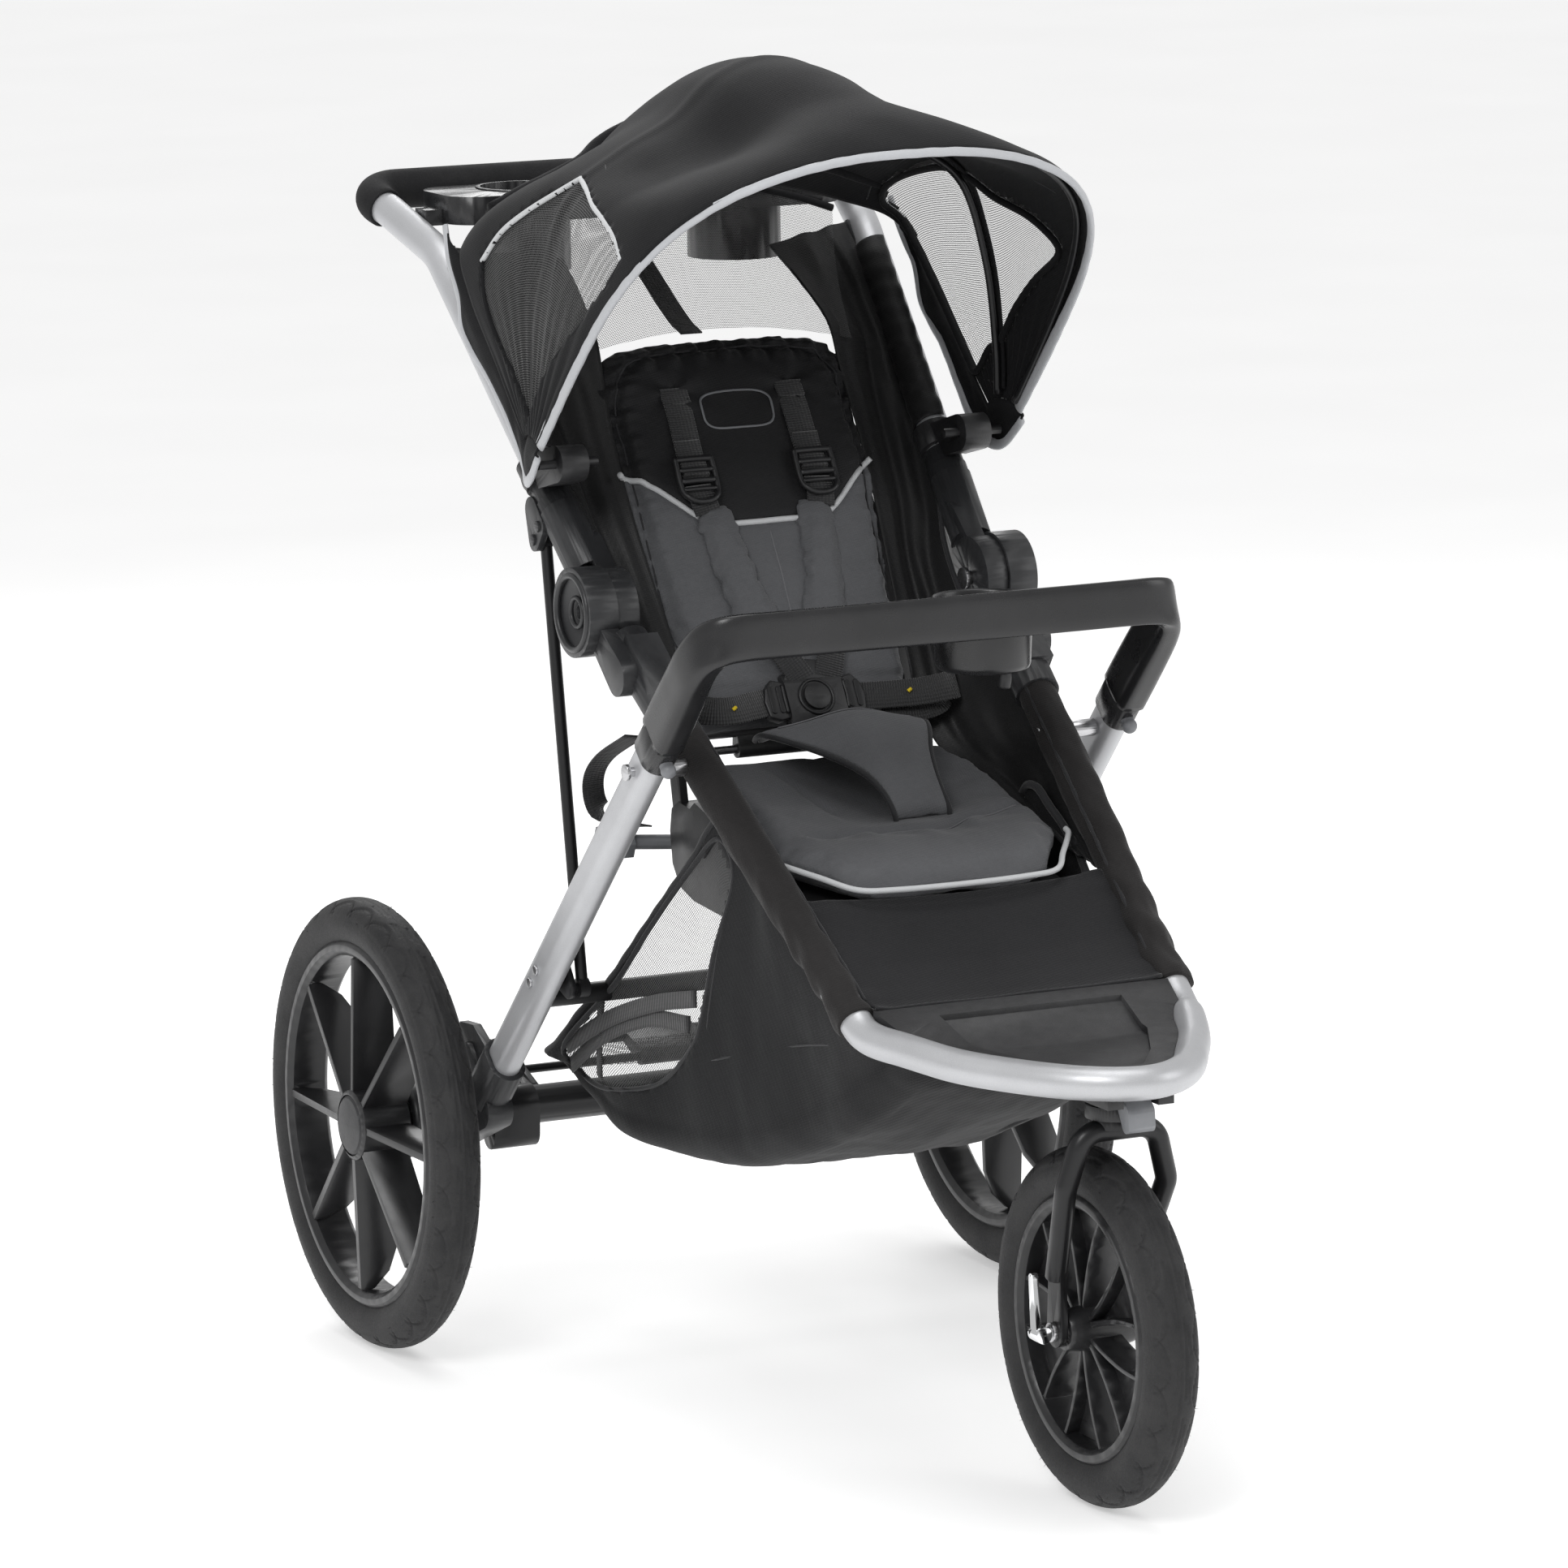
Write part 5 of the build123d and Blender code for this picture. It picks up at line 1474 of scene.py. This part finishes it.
def shoulder_pad(side, word):
    """Quilted grey pad with light piping round its outer side and top."""
    outline = [(side * x * PAD_NARROWING, y) for x, y in PAD_OUTLINE]
    centre_x = sum(x for x, y in outline) / len(outline)
    centre_y = sum(y for x, y in outline) / len(outline)

    def shrink(x, y, scale_x, scale_y):
        return centre_x + (x - centre_x) * scale_x, centre_y + (y - centre_y) * scale_y

    def relief(x, y, facing):
        edge = lerp(60, 73, smooth(95, 200, y))
        lift = 1.6 * noise3(x * 0.05, y * 0.03, 8 + side) + 1.6 * noise3(x * 0.02, y * 0.06, 2)
        return lift - 0.0042 * (abs(x) - (edge - 32)) ** 2

    pad = puff(slab(f"shoulder_pad_{word}", [shrink(x, y, 0.93, 0.97) for x, y in outline],
                    BACK, 8.5, 13.5, "seat_cloth_grey"), voxel=4.0, cap=5.0)
    mould(pad, BACK, relief)
    back_piece(pad, "seat_cloth_grey", "shoulder_straps" if side < 0 else None)
    tree = surface_tree(pad)
    piping = []
    for x, y in PAD_PIPING:
        x *= side * PAD_NARROWING
        height = BACK.local(drop(tree, BACK, *shrink(x, y, 0.86, 0.95), 40, 0))[2]
        piping.append(BACK.at(x, y, height - 2.6))
    back_piece(tube(f"shoulder_pad_piping_{word}", piping, 2.3, "piping_light", sides=10),
               "seat_cloth_grey")


def plate(name, outline, low, high, bevel, material="black_plastic"):
    """A bevelled plate off the seat back plane."""
    obj = slab(name, outline, BACK, low, high, material)
    modifier = obj.modifiers.new("bevel", "BEVEL")
    modifier.width = bevel / 1000
    modifier.segments = 3
    modifier.limit_method = "ANGLE"
    modifier.angle_limit = radians(25)
    apply_modifiers(obj)
    shade_smooth(obj.data)
    back_piece(obj, "black_plastic")


def rounded_rect(centre_x, centre_y, width, height, radius):
    corners = []
    for side_x, side_y, start in ((1, 1, 0), (-1, 1, 90), (-1, -1, 180), (1, -1, 270)):
        for k in range(6):
            turn = radians(start + 90 * k / 5)
            corners.append((centre_x + side_x * (width / 2 - radius) + radius * cos(turn),
                            centre_y + side_y * (height / 2 - radius) + radius * sin(turn)))
    return corners


def buckle():
    """Top plate, waist clips with their slots and ribs, and a ring in the middle."""
    plate("buckle_top_plate", [(-22, 52), (-12, 60), (0, 62), (12, 60), (22, 52), (26, 44),
                               (24, 40), (-24, 40), (-26, 44)], 8, 17.5, bevel=1.4)
    for side, word in SIDES:
        clip = [(25, 42), (38, 46), (45, 38), (48, 26), (46, 12), (36, 8), (25, 10)]
        plate(f"waist_clip_{word}", [(side * x, y) for x, y in clip], 6.5, 16.5, bevel=1.6)
        for letter, x in (("a", 33), ("b", 41)):
            plate(f"clip_slot_{letter}_{word}", rounded_rect(side * x, 27, 4.6, 25, 2.2),
                  16.2, 17.6, bevel=0.4, material="dark_paint")
        rib = back_line([(side * 29, 40, 17), (side * 29.5, 27, 17.6), (side * 29, 14, 17)])
        back_piece(tube(f"clip_rib_{word}", rib, 1.4, "black_plastic", sides=8),
                   "black_plastic")
    ring = [BACK.at(15.5 * cos(turn), BUCKLE_Y + 15.5 * sin(turn), 19.2) for turn in angles(24)]
    back_piece(tube("buckle_ring", ring, 1.5, "black_plastic", sides=8, per=3, closed=True),
               "black_plastic")


def waist_webbing():
    """Webbing round the hips, each side with a yellow stitch."""
    out = BACK.normal
    back_webbing("waist_webbing_left", back_line([
        (-44, 27, 12), (-60, 24, 15), (-80, 21, 17), (-98, 24, 12), (-108, 34, -2)]),
        normals=[out, out, out + Vector((-0.15, 0, 0)), out + Vector((-0.6, 0, 0)),
                 Vector((-1, -0.2, 0.1))])
    back_webbing("waist_webbing_right", back_line([
        (45, 25, 12), (70, 22, 18), (98, 20, 24), (124, 22, 26), (136, 27, 16), (132, 29, 2)]),
        normals=[out, out, out, out + Vector((0.4, 0, 0)), Vector((1, -0.3, 0.2)),
                 Vector((1, -0.1, 0.1))])
    back_webbing("waist_webbing_right_under", back_line([
        (62, 12, 10), (90, 8, 14), (112, 11, 15), (124, 20, 8)]), 22)
    for word, x, y, z in (("left", -79, 22, 18.6), ("right", 86, 22, 23.8)):
        stitch = back_line([(x - 1.6, y - 1, z), (x, y, z + 0.5), (x + 1.6, y + 1, z)])
        back_piece(tube(f"waist_stitch_{word}", stitch, 1.7, "stitch_yellow", sides=8, per=4),
                   "webbing")


for side, word in SIDES:
    shoulder_webbing(side, word)
for side, word in SIDES:
    shoulder_pad(side, word)
buckle()
waist_webbing()

# =============================== WINGS, SLEEVES, APRON ====================================
# Frame tube ends as half width, y, z.
HINGE = (180.0, -227.0, 677.0)
UPRIGHT_TOP = (207.0, 55.0, 955.0)
SIDE_TUBE_FOOT = (146.0, -633.0, 387.0)
SLEEVE_START, SLEEVE_END = 128, 494  # along the side tube from the hinge
WING = [Vector(row) for row in (  # seat edge x, y, z, then frame edge x, y, z
    (100, 30, 947, 194, 60, 960), (106, -20, 920, 196, 18, 921),
    (112, -64, 888, 196, -22, 880), (114, -84, 848, 193, -58, 846),
    (117, -112, 797, 186, -104, 801), (116, -146, 739, 176, -150, 752),
    (112, -181, 681, 163, -186, 708), (108, -220, 618, 158, -232, 662),
    (106, -252, 564, 160, -288, 622), (116, -288, 530, 160, -338, 588),
    (130, -336, 515, 158, -384, 556), (134, -390, 502, 154, -430, 524),
    (134, -440, 490, 151, -475, 492), (133, -470, 482, 149, -512, 466))]
APRON = arrays([  # y, centre z, half width, edge z
    (-516, 462, 132, 470), (-530, 457, 133, 462), (-540, 449, 134, 455), (-556, 437, 134, 444),
    (-580, 420, 132, 427), (-604, 409, 129, 412), (-626, 401, 126, 402),
    (-638, 398.5, 124, 399)])


def tube_axis(end, distance, side):
    """Layout place on a frame tube, distance from the hinge seen from the side."""
    part = distance / hypot(end[1] - HINGE[1], end[2] - HINGE[2])
    x, y, z = (lerp(low, high, part) for low, high in zip(HINGE, end))
    return Vector((side * x, y, z))


def wing_point(side, u, v):
    row = station(WING, u)
    place = Vector(row[:3]).lerp(Vector(row[3:]), v)
    middle = sin(pi * v)
    sag = 15 * middle * smooth(0.0, 0.12, u) * smooth(1.0, 0.86, u)
    # long folds, uneven slack, short puckers on the lower part
    fold = (5.5 * sin(v * 15 + 2.6 * noise3(u * 3, v, 2) + u * 3.0) * middle
            * (0.4 + 0.6 * smooth(0.75, 0.2, u)))
    fold += 4.2 * noise3(u * 9 + v * 4, v * 5 - u * 6, 8) * middle
    fold += 2.2 * sin(u * 46 + v * 9) * middle * smooth(0.35, 0.7, u)
    return point(side * (place.x + 0.35 * sag + 0.3 * fold), place.y + 0.75 * sag + 0.75 * fold,
                 place.z - 0.55 * sag - 0.35 * fold)


def wing_piece(obj, replaces=None):
    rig.blend(obj, "lower_frame", "upper_frame", start=point(0, -262, 650),
             end=point(0, -170, 735))
    if replaces:
        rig.replaces(obj, replaces)
    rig.slot(obj, "seat_cloth_black")


def side_wing(side, word):
    """Loose cloth from the seat edge out to the frame."""
    wing_piece(sheet(f"side_wing_{word}", lambda u, v: wing_point(side, u, v), 110, 34,
                     "wing_cloth", thick=1.6 * side), "side_wings" if side < 0 else None)
    wing_piece(tube(f"side_wing_hem_{word}", [wing_point(side, u, 0.98) for u in steps(24)],
                    2.4, "dark_binding", sides=8, per=4))


def wing_wrap(side, word):
    """The wing's outer edge round the inner side and front of the upright."""
    dy, dz = UPRIGHT_TOP[1] - HINGE[1], UPRIGHT_TOP[2] - HINGE[2]
    front = Vector((0, -dz / hypot(dy, dz), dy / hypot(dy, dz)))

    def surface(u, v):
        turn = lerp(-1.5, 2.0, v)
        radius = 15.6 + 0.9 * noise3(u * 11, v * 3, 4 + side) + 0.5 * sin(u * 60 + v * 4)
        return point(*(tube_axis(UPRIGHT_TOP, lerp(168, 372, u), side)
                       + Vector((-side, 0, 0)) * (radius * cos(turn))
                       + front * (radius * sin(turn))))

    attach(sheet(f"wing_wrap_{word}", surface, 70, 20, "wing_cloth", thick=1.0 * side),
           "upper_frame", "seat_cloth_black")


def tube_sleeve(side, word):
    """Creased cloth sleeve round the side tube, with a seam on its inner side."""
    def creases(run, turn):
        part = run / ((SLEEVE_END - SLEEVE_START) / 1000)
        ends = 0.10 * gauss(part - 0.985, 0.02) + 0.06 * gauss(part - 0.01, 0.02)
        rings = sin(run * 150 + 2.2 * sin(turn + 1 + side) + 4 * noise3(run * 9, turn, 3))
        return (0.085 * rings * (0.25 + 0.75 * smooth(0.55, 0.9, part))
                + 0.10 * noise3(run * 28, cos(turn) * 1.6, sin(turn) * 1.6 + side)
                + 0.05 * sin(turn * 2 + run * 20) + ends)

    def axis(inset):
        return [tube_axis(SIDE_TUBE_FOOT, lerp(SLEEVE_START + inset, SLEEVE_END - inset, part),
                          side) for part in steps(24)]

    low_piece(tube(f"tube_sleeve_{word}", [point(*place) for place in axis(0)], 16.4,
                   "sleeve_cloth", sides=40, per=9, wobble=creases))
    seam = [point(p.x - side * 12.5, p.y + 3.5, p.z + 13.0) for p in axis(4)]
    low_piece(tube(f"sleeve_seam_{word}", seam, 1.6, "dark_binding", sides=8, per=4,
                   wobble=lambda run, turn: 0.12 * sin(run * 300)))


def apron_point(u, v):
    i, part = span(len(APRON), u)
    y, centre_z, half_width, edge_z = lerp(APRON[i], APRON[i + 1], part)
    across = 2 * v - 1
    z = lerp(centre_z, edge_z, abs(across) ** 2.2)
    # slack, then puckers along the sides
    z += 1.5 * noise3(across * 1.8, u * 2.0, 6)
    z += 1.0 * sin(across * 22 + u * 5) * smooth(0.75, 1.0, abs(across))
    z += 0.8 * sin(u * 30 + across * 3) * smooth(0.8, 1, abs(across))
    return point(across * (half_width + 8), y, z)


def seat_apron():
    """Cloth from under the cushion's front edge down to the footrest."""
    low_piece(sheet("seat_apron", apron_point, 40, 70, "apron_cloth", thick=-2.0))
    for side, word in SIDES:
        seam = [apron_point(u, 0.5 + side * 0.415 + side * 0.02 * u)
                + Vector((0, -0.0004, 0.0008)) for u in steps(20)]
        low_piece(tube(f"apron_seam_{word}", seam, 0.9, "stitch_black", sides=6, per=3))
    hem = [apron_point(0.985, v) + Vector((0, 0, 0.001)) for v in steps(20)]
    low_piece(tube("apron_hem", hem, 1.8, "dark_binding", sides=8, per=3))


for build in (side_wing, wing_wrap, tube_sleeve):
    for side, word in SIDES:
        build(side, word)
seat_apron()

# =============================== BASKET ===================================================
BASKET = arrays([  # y, rim z, floor z, half width at the rim, half width low down
    (-34, 254, 232, 157, 120), (-70, 274, 212, 158, 120), (-120, 312, 193, 157, 116),
    (-180, 352, 187, 155, 108), (-250, 412, 190, 152, 100), (-320, 470, 200, 150, 94),
    (-380, 520, 214, 147, 90), (-440, 497, 233, 143, 87), (-500, 455, 257, 139, 84),
    (-560, 412, 288, 134, 82), (-612, 376, 320, 128, 80), (-640, 366, 346, 122, 80)])
MESH_WINDOW = [  # y, z outline of the mesh in each side
    (-62, 244), (-78, 270), (-176, 340), (-246, 402), (-316, 462), (-372, 500), (-392, 470),
    (-352, 395), (-318, 330), (-290, 300), (-230, 262), (-170, 244), (-110, 236)]
BASKET_BANDS = [  # name, width, y, z points
    ("upper", 15, [(-80, 268), (-160, 306), (-240, 334), (-318, 352)]),
    ("lower", 11, [(-150, 330), (-140, 290), (-122, 246)]),
    ("low_band", 15, [(-70, 248), (-150, 290), (-226, 318), (-300, 326)])]
BASKET_SEAMS = [  # name, radius, y, z points
    ("gusset", 1.0, [(-392, 470), (-360, 400), (-330, 330), (-322, 290), (-330, 250)]),
    ("front", 1.2, [(-330, 300), (-400, 320), (-470, 338), (-540, 352), (-600, 358)])]


def basket_point(u, v, off=0.0):
    """u from rear to front; v 0.5 the middle of the floor, 0 and 1 the rims."""
    y, rim_z, floor_z, rim_width, low_width = station(BASKET, u)
    side = 1 if 2 * v - 1 >= 0 else -1
    across = abs(2 * v - 1)
    corner = min(30.0, (rim_z - floor_z) * 0.45)
    reach = (rim_width - low_width) * 0.42 + 6
    if across < 0.42:  # floor
        part = across / 0.42
        x = low_width * part
        z = floor_z + 5 * part * part
    elif across < 0.60:  # rounded lower corner
        turn = (across - 0.42) / 0.18 * pi / 2
        x = low_width + reach * sin(turn)
        z = floor_z + 5 + corner * (1 - cos(turn))
    else:  # side
        part = (across - 0.60) / 0.40
        x = lerp(low_width + reach, rim_width, part) + 5 * sin(part * pi)
        z = lerp(floor_z + 5 + corner, rim_z, part)
    # wrinkles, fading at both ends, and a pull at the sides
    ripple = sin(u * 22 + v * 13 + 2 * noise3(u * 4, v * 4, 9))
    push = (3.4 * noise3(u * 8, v * 7, 1)
            + 2.2 * ripple * (0.5 + 0.5 * smooth(0.2, 0.6, across))
            + 1.2 * noise3(u * 25, v * 22, 5))
    push *= smooth(0.0, 0.05, u) * smooth(1.0, 0.94, u)
    push -= 4.5 * gauss(u - 0.60, 0.05) * smooth(0.5, 1, across)
    push += off
    if across < 0.42:
        return point(side * x, y, z - push)
    return point(side * (x + push * 0.8), y, z - push * 0.35)


def cloth_cell(u, v):
    """Cloth but for the side windows and the open rear end of the floor."""
    across = abs(2 * v - 1)
    if across > 0.6 and inside(*layout(basket_point(u, v))[1:], MESH_WINDOW):
        return False
    return not (u < 0.055 and across < 0.5)


def mesh_cell(u, v):
    """The windows with a little overlap under the cloth."""
    return abs(2 * v - 1) > 0.55 and near(*layout(basket_point(u, v))[1:], MESH_WINDOW, 6, 6)


def basket_rear(u, v):
    """Mesh that closes the rear end."""
    return point((2 * v - 1) * 150, -33, 256).lerp(basket_point(0.0, 0.5 + (v - 0.5) * 0.84), u)


def on_side(side, line, off):
    """Layout (y, z) points laid on the basket's side, off mm out."""
    near_side = [basket_point(i / 60, 0.5 + side * (0.30 + 0.20 * j / 23), off)
                 for i in range(61) for j in range(24)]

    def laid(y, z):
        def distance(place):
            _, place_y, place_z = layout(place)
            return (place_y - y) ** 2 + (place_z - z) ** 2

        return point(min(near_side, key=distance).x * 1000, y, z)

    return [laid(y, z) for y, z in line]


def basket_piece(obj, slot="basket_cloth", replaces=None):
    attach(obj, "lower_frame", slot, replaces)


def basket_side(side, word):
    """Rim, window binding, webbing bands and seams of one side."""
    basket_piece(tube(f"basket_rim_{word}",
                      [basket_point(u, 0.5 + side * 0.5) for u in steps(30)], 3.6,
                      "dark_binding", sides=10, per=4,
                      wobble=lambda run, turn: 0.08 * sin(run * 160 + turn)))
    basket_piece(tube(f"basket_window_binding_{word}", on_side(side, MESH_WINDOW, 1.0), 2.4,
                      "dark_binding", sides=8, closed=True))
    for name, width, line in BASKET_BANDS:
        basket_piece(strap(f"basket_band_{name}_{word}", on_side(side, line, 2.4),
                           Vector((side, 0, 0.1)), width, 1.8), "webbing")
    for name, radius, line in BASKET_SEAMS:
        basket_piece(tube(f"basket_{name}_seam_{word}", on_side(side, line, 1.2), radius,
                          "stitch_black", sides=6))


def basket():
    """A sagging bag with mesh upper sides."""
    nu, nv = 120, 150
    basket_piece(sheet("basket_cloth_shell", basket_point, nu, nv, "basket_cloth",
                       keep=cloth_cell), replaces="basket")
    basket_piece(sheet("basket_mesh_sides", lambda u, v: basket_point(u, v, -1.2), nu, nv,
                       "mesh_basket", thick=0.6, keep=mesh_cell, closed=False))
    basket_piece(sheet("basket_rear_panel", basket_rear, 14, 60, "mesh_basket", thick=0.6,
                       closed=False))
    for side, word in SIDES:
        basket_side(side, word)
    # webbing loop below the left side of the seat
    loop = [(-142, -196, 560), (-150, -150, 535), (-151, -128, 512), (-148, -130, 488),
            (-142, -160, 478), (-136, -196, 482)]
    basket_piece(strap("seat_strap_loop", [point(*p) for p in loop], Vector((0, 0.8, 0.4)),
                       20, 1.6), "webbing")


basket()

# =============================== TYRES ====================================================
TYRE_RADIUS = 23  # of the tyre's own section
TYRES = [  # name, x, axle y, axle z, tread repeats, replaced node, body
    ("rear_tyre_tread_left", -310, 0, 199.5, 30, "rear_tyre_left", "rear_wheel_left"),
    ("rear_tyre_tread_right", 310, 0, 199.5, 30, "rear_tyre_right", "rear_wheel_right"),
    ("front_tyre_tread", 0, -768, 148.5, 22, "front_tyre", "front_wheel"),
]


def tread(turn, lean, repeats):
    """Tread height in mm at an angle round the wheel and an angle off the crown."""
    off = abs(lean)
    turns = turn * repeats / (2 * pi)
    shift = 0.5 if lean < 0 else 0.0
    # scalloped arcs on the shoulders, a second line outside them
    place = (turns % 1.0 + shift) % 1.0
    arc = abs(sin(pi * place))
    line = 0.50 + 0.42 * (1 - arc ** 0.62) + 0.05 * sin(2 * pi * place)
    height = -1.45 * gauss(off - line, 0.040)
    height -= 1.05 * gauss(off - line - 0.115, 0.032) * smooth(0.45, 0.75, arc)
    # stem of each scallop towards the side wall
    stem = gauss(min(place, 1 - place) - 0.03 - 0.05 * sin(off * 7), 0.028)
    height -= 1.0 * stem * smooth(0.80, 0.9, off) * smooth(1.14, 1.05, off)
    # short dashes, then long dashes next to the crown
    place = (turns + (0.25 if lean < 0 else 0.0)) % 1.0
    if abs(place - 0.5) < 0.28:
        height -= 1.1 * gauss(off - 0.25 - 0.10 * (place - 0.5), 0.035)
    place = (turns * 0.5 + shift) % 1.0
    dash = smooth(0.0, 0.05, place) * smooth(0.86, 0.80, place)
    height -= 1.2 * gauss(off - 0.09, 0.034) * dash
    # tread edge, two fine rings on the side wall, surface grain
    height += 0.55 * smooth(1.16, 1.10, off)
    height += 0.45 * gauss(off - 1.36, 0.02) + 0.35 * gauss(off - 1.62, 0.02)
    return height + 0.05 * noise3(cos(turn) * 40, sin(turn) * 40, lean * 8)


def tyre(name, centre_x, axle_y, axle_z, repeats, node, body):
    ring_radius = axle_z - TYRE_RADIUS  # the tyre stands on the floor
    rounds, count = repeats * 40, 76
    leans = [-2.55 + 5.10 * j / (count - 1) for j in range(count)]

    def wheel_point(x, radius, turn):
        return point(centre_x + x, axle_y + radius * cos(turn), axle_z + radius * sin(turn))

    verts, faces = [], []
    for turn in angles(rounds):
        for lean in leans:
            radius = TYRE_RADIUS - 0.6 + tread(turn, lean, repeats)
            verts.append(wheel_point(radius * sin(lean) * 0.985,
                                     ring_radius + radius * cos(lean), turn))
    for i in range(rounds):
        here, beyond = i * count, ((i + 1) % rounds) * count
        for j in range(count - 1):
            faces.append((here + j, here + j + 1, beyond + j + 1, beyond + j))
        faces.append((here + count - 1, here, beyond, beyond + count - 1))
    # moulding hairs on the shoulders
    chance = random.Random(7 + repeats)
    for _ in range(46):
        turn = chance.uniform(0, 2 * pi)
        lean = chance.choice((-1, 1)) * chance.uniform(0.5, 1.35)
        length = chance.uniform(1.2, 3.2)
        first = len(verts)
        root = TYRE_RADIUS - 1.0
        for corner in (0, 2.1, 4.2):
            tilt = lean + 0.016 * cos(corner)
            verts.append(wheel_point(root * sin(tilt), ring_radius + root * cos(tilt),
                                     turn + 0.0022 * sin(corner)))
        reach, tilt = TYRE_RADIUS + length, lean + 0.04
        if reach * cos(lean) > TYRE_RADIUS - 0.3:
            # a hair that would stand past the crown is kept inside it
            reach, tilt = TYRE_RADIUS - 0.2, lean
        verts.append(wheel_point(reach * sin(tilt), ring_radius + reach * cos(tilt), turn))
        faces += [tuple(first + k for k in corners)
                  for corners in ((0, 1, 3), (1, 2, 3), (2, 0, 3), (2, 1, 0))]
    obj = new_object(name, verts, faces, "tyre_rubber")
    face_outward(obj)
    attach(obj, body, "tyre_rubber", node)


for row in TYRES:
    tyre(*row)

# =============================== CHILD TRAY ===============================================
ARM_UP = Vector((0, 0.722, 0.692))  # height direction of the band on the side arms
TRAY_BAND = mirrored([  # x, y, z, thickness, height, lean of the height towards ARM_UP
    (-217, -416, 601, 27.5, 44, 1.0), (-217, -436, 622, 27.5, 44, 1.0),
    (-217, -458, 645, 27, 43, 0.95), (-217, -478, 666, 25, 42, 0.75),
    (-214, -496, 683, 20, 41, 0.4), (-206, -509, 691.5, 14, 40, 0.15),
    (-190, -516, 694.5, 10, 39.5, 0.03), (-165, -518, 695, 8.5, 39, 0),
    (-120, -519, 695, 8, 39, 0), (-60, -519.5, 695, 8, 39, 0), (0, -519.5, 695, 8, 39, 0)])
CUP_X, CUP_Y = 56.0, -466.0
CUP_HOLE = 40
CUP_PROFILE = [  # radius, z round the cup well's wall and rolled rim
    (34, 641), (37, 641.6), (39.2, 643.5), (40.4, 647), (41.6, 676), (42.4, 692), (42.8, 698),
    (43.6, 700.5), (42.8, 702.6), (41.2, 702.8), (40.2, 700.5), (39.6, 690), (38.4, 650),
    (36.4, 646.5), (33, 645)]


def squarish(run, turn):
    """Wobble that turns a round section into a rounded rectangle."""
    return (abs(cos(turn)) ** 4.5 + abs(sin(turn)) ** 4.5) ** (-1 / 4.5) - 1


def tray_piece(obj, replaces=None):
    attach(obj, "child_tray_body", "charcoal_plastic", replaces)


def tray_band():
    per = 7
    ups = [(ARM_UP * lean + Vector((0, 0, 1)) * (1 - lean)).normalized()
           for *_, lean in TRAY_BAND]
    sizes = catmull([(thick, height, 0) for _, _, _, thick, height, _ in TRAY_BAND], per)

    def size(part):
        return sizes[round(part * (len(sizes) - 1))]

    tray_piece(tube("child_tray_band", [point(*row[:3]) for row in TRAY_BAND],
                    lambda part: size(part).x / 2, "charcoal_plastic", sides=40, per=per,
                    thick=lambda part: size(part).y / 2, up=catmull(ups, per),
                    wobble=squarish), "child_tray")


def tray_floor_point(u, v):
    """u from the front to the upturned back edge."""
    edge = abs(2 * v - 1)
    back_y = -452 + 4 * cos(2 * pi * v) - 26 * edge ** 6
    return point(lerp(-204, 204, v), lerp(-515, back_y, u),
                 683 + 5 * smooth(0.78, 1.0, u) + 3 * edge ** 8)


def outside_cup(u, v):
    x, y, _ = layout(tray_floor_point(u, v))
    return hypot(x - CUP_X, y - CUP_Y) >= CUP_HOLE


def cup_well():
    """The cup profile revolved about the cup's axis."""
    count, rounds = len(CUP_PROFILE), 96
    verts = [point(CUP_X + radius * cos(turn), CUP_Y + radius * sin(turn), z)
             for turn in angles(rounds) for radius, z in CUP_PROFILE]
    faces = []
    for i in range(rounds):
        here, beyond = i * count, ((i + 1) % rounds) * count
        for j in range(count - 1):
            faces.append((here + j, beyond + j, beyond + j + 1, here + j + 1))
    faces.append(tuple(i * count for i in range(rounds - 1, -1, -1)))
    faces.append(tuple(i * count + count - 1 for i in range(rounds)))
    tray_piece(new_object("child_tray_cup_well", verts, faces, "charcoal_plastic"))


def tray_floor():
    tray_piece(sheet("child_tray_floor", tray_floor_point, 30, 120, "charcoal_plastic",
                     thick=3.2, keep=outside_cup))
    tray_piece(tube("child_tray_back_edge", [tray_floor_point(1.0, v) for v in steps(40)], 2.2,
                    "charcoal_plastic", sides=10, per=3))
    cup_well()
    tab = [point(CUP_X + 4, CUP_Y + dy, z) for dy, z in ((-30, 646), (-32, 638), (-30, 630))]
    tray_piece(tube("cup_drain_tab", tab, 5, "black_plastic", per=5, wobble=squarish))


def hinge_rings(side, word):
    """Dish and hub rings on the main hinge's cover."""
    for radius, x, thick in ((31.5, 212.5, 3.0), (12.5, 208, 2.2)):
        ring = [point(side * x, HINGE[1] + radius * cos(turn), HINGE[2] + radius * sin(turn))
                for turn in angles(40)]
        attach(tube(f"hinge_cover_ring_{int(radius)}_{word}", ring, thick, "hinge_plastic",
                    sides=10, per=2, closed=True), "lower_frame", "black_plastic")


tray_band()
tray_floor()
for side, word in SIDES:
    hinge_rings(side, word)

VISUAL_BOX = [list(corner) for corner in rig.bounds()]
with open("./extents.json", "w") as size_file:
    json.dump({"cad": CAD_BOX, "visual": VISUAL_BOX}, size_file)
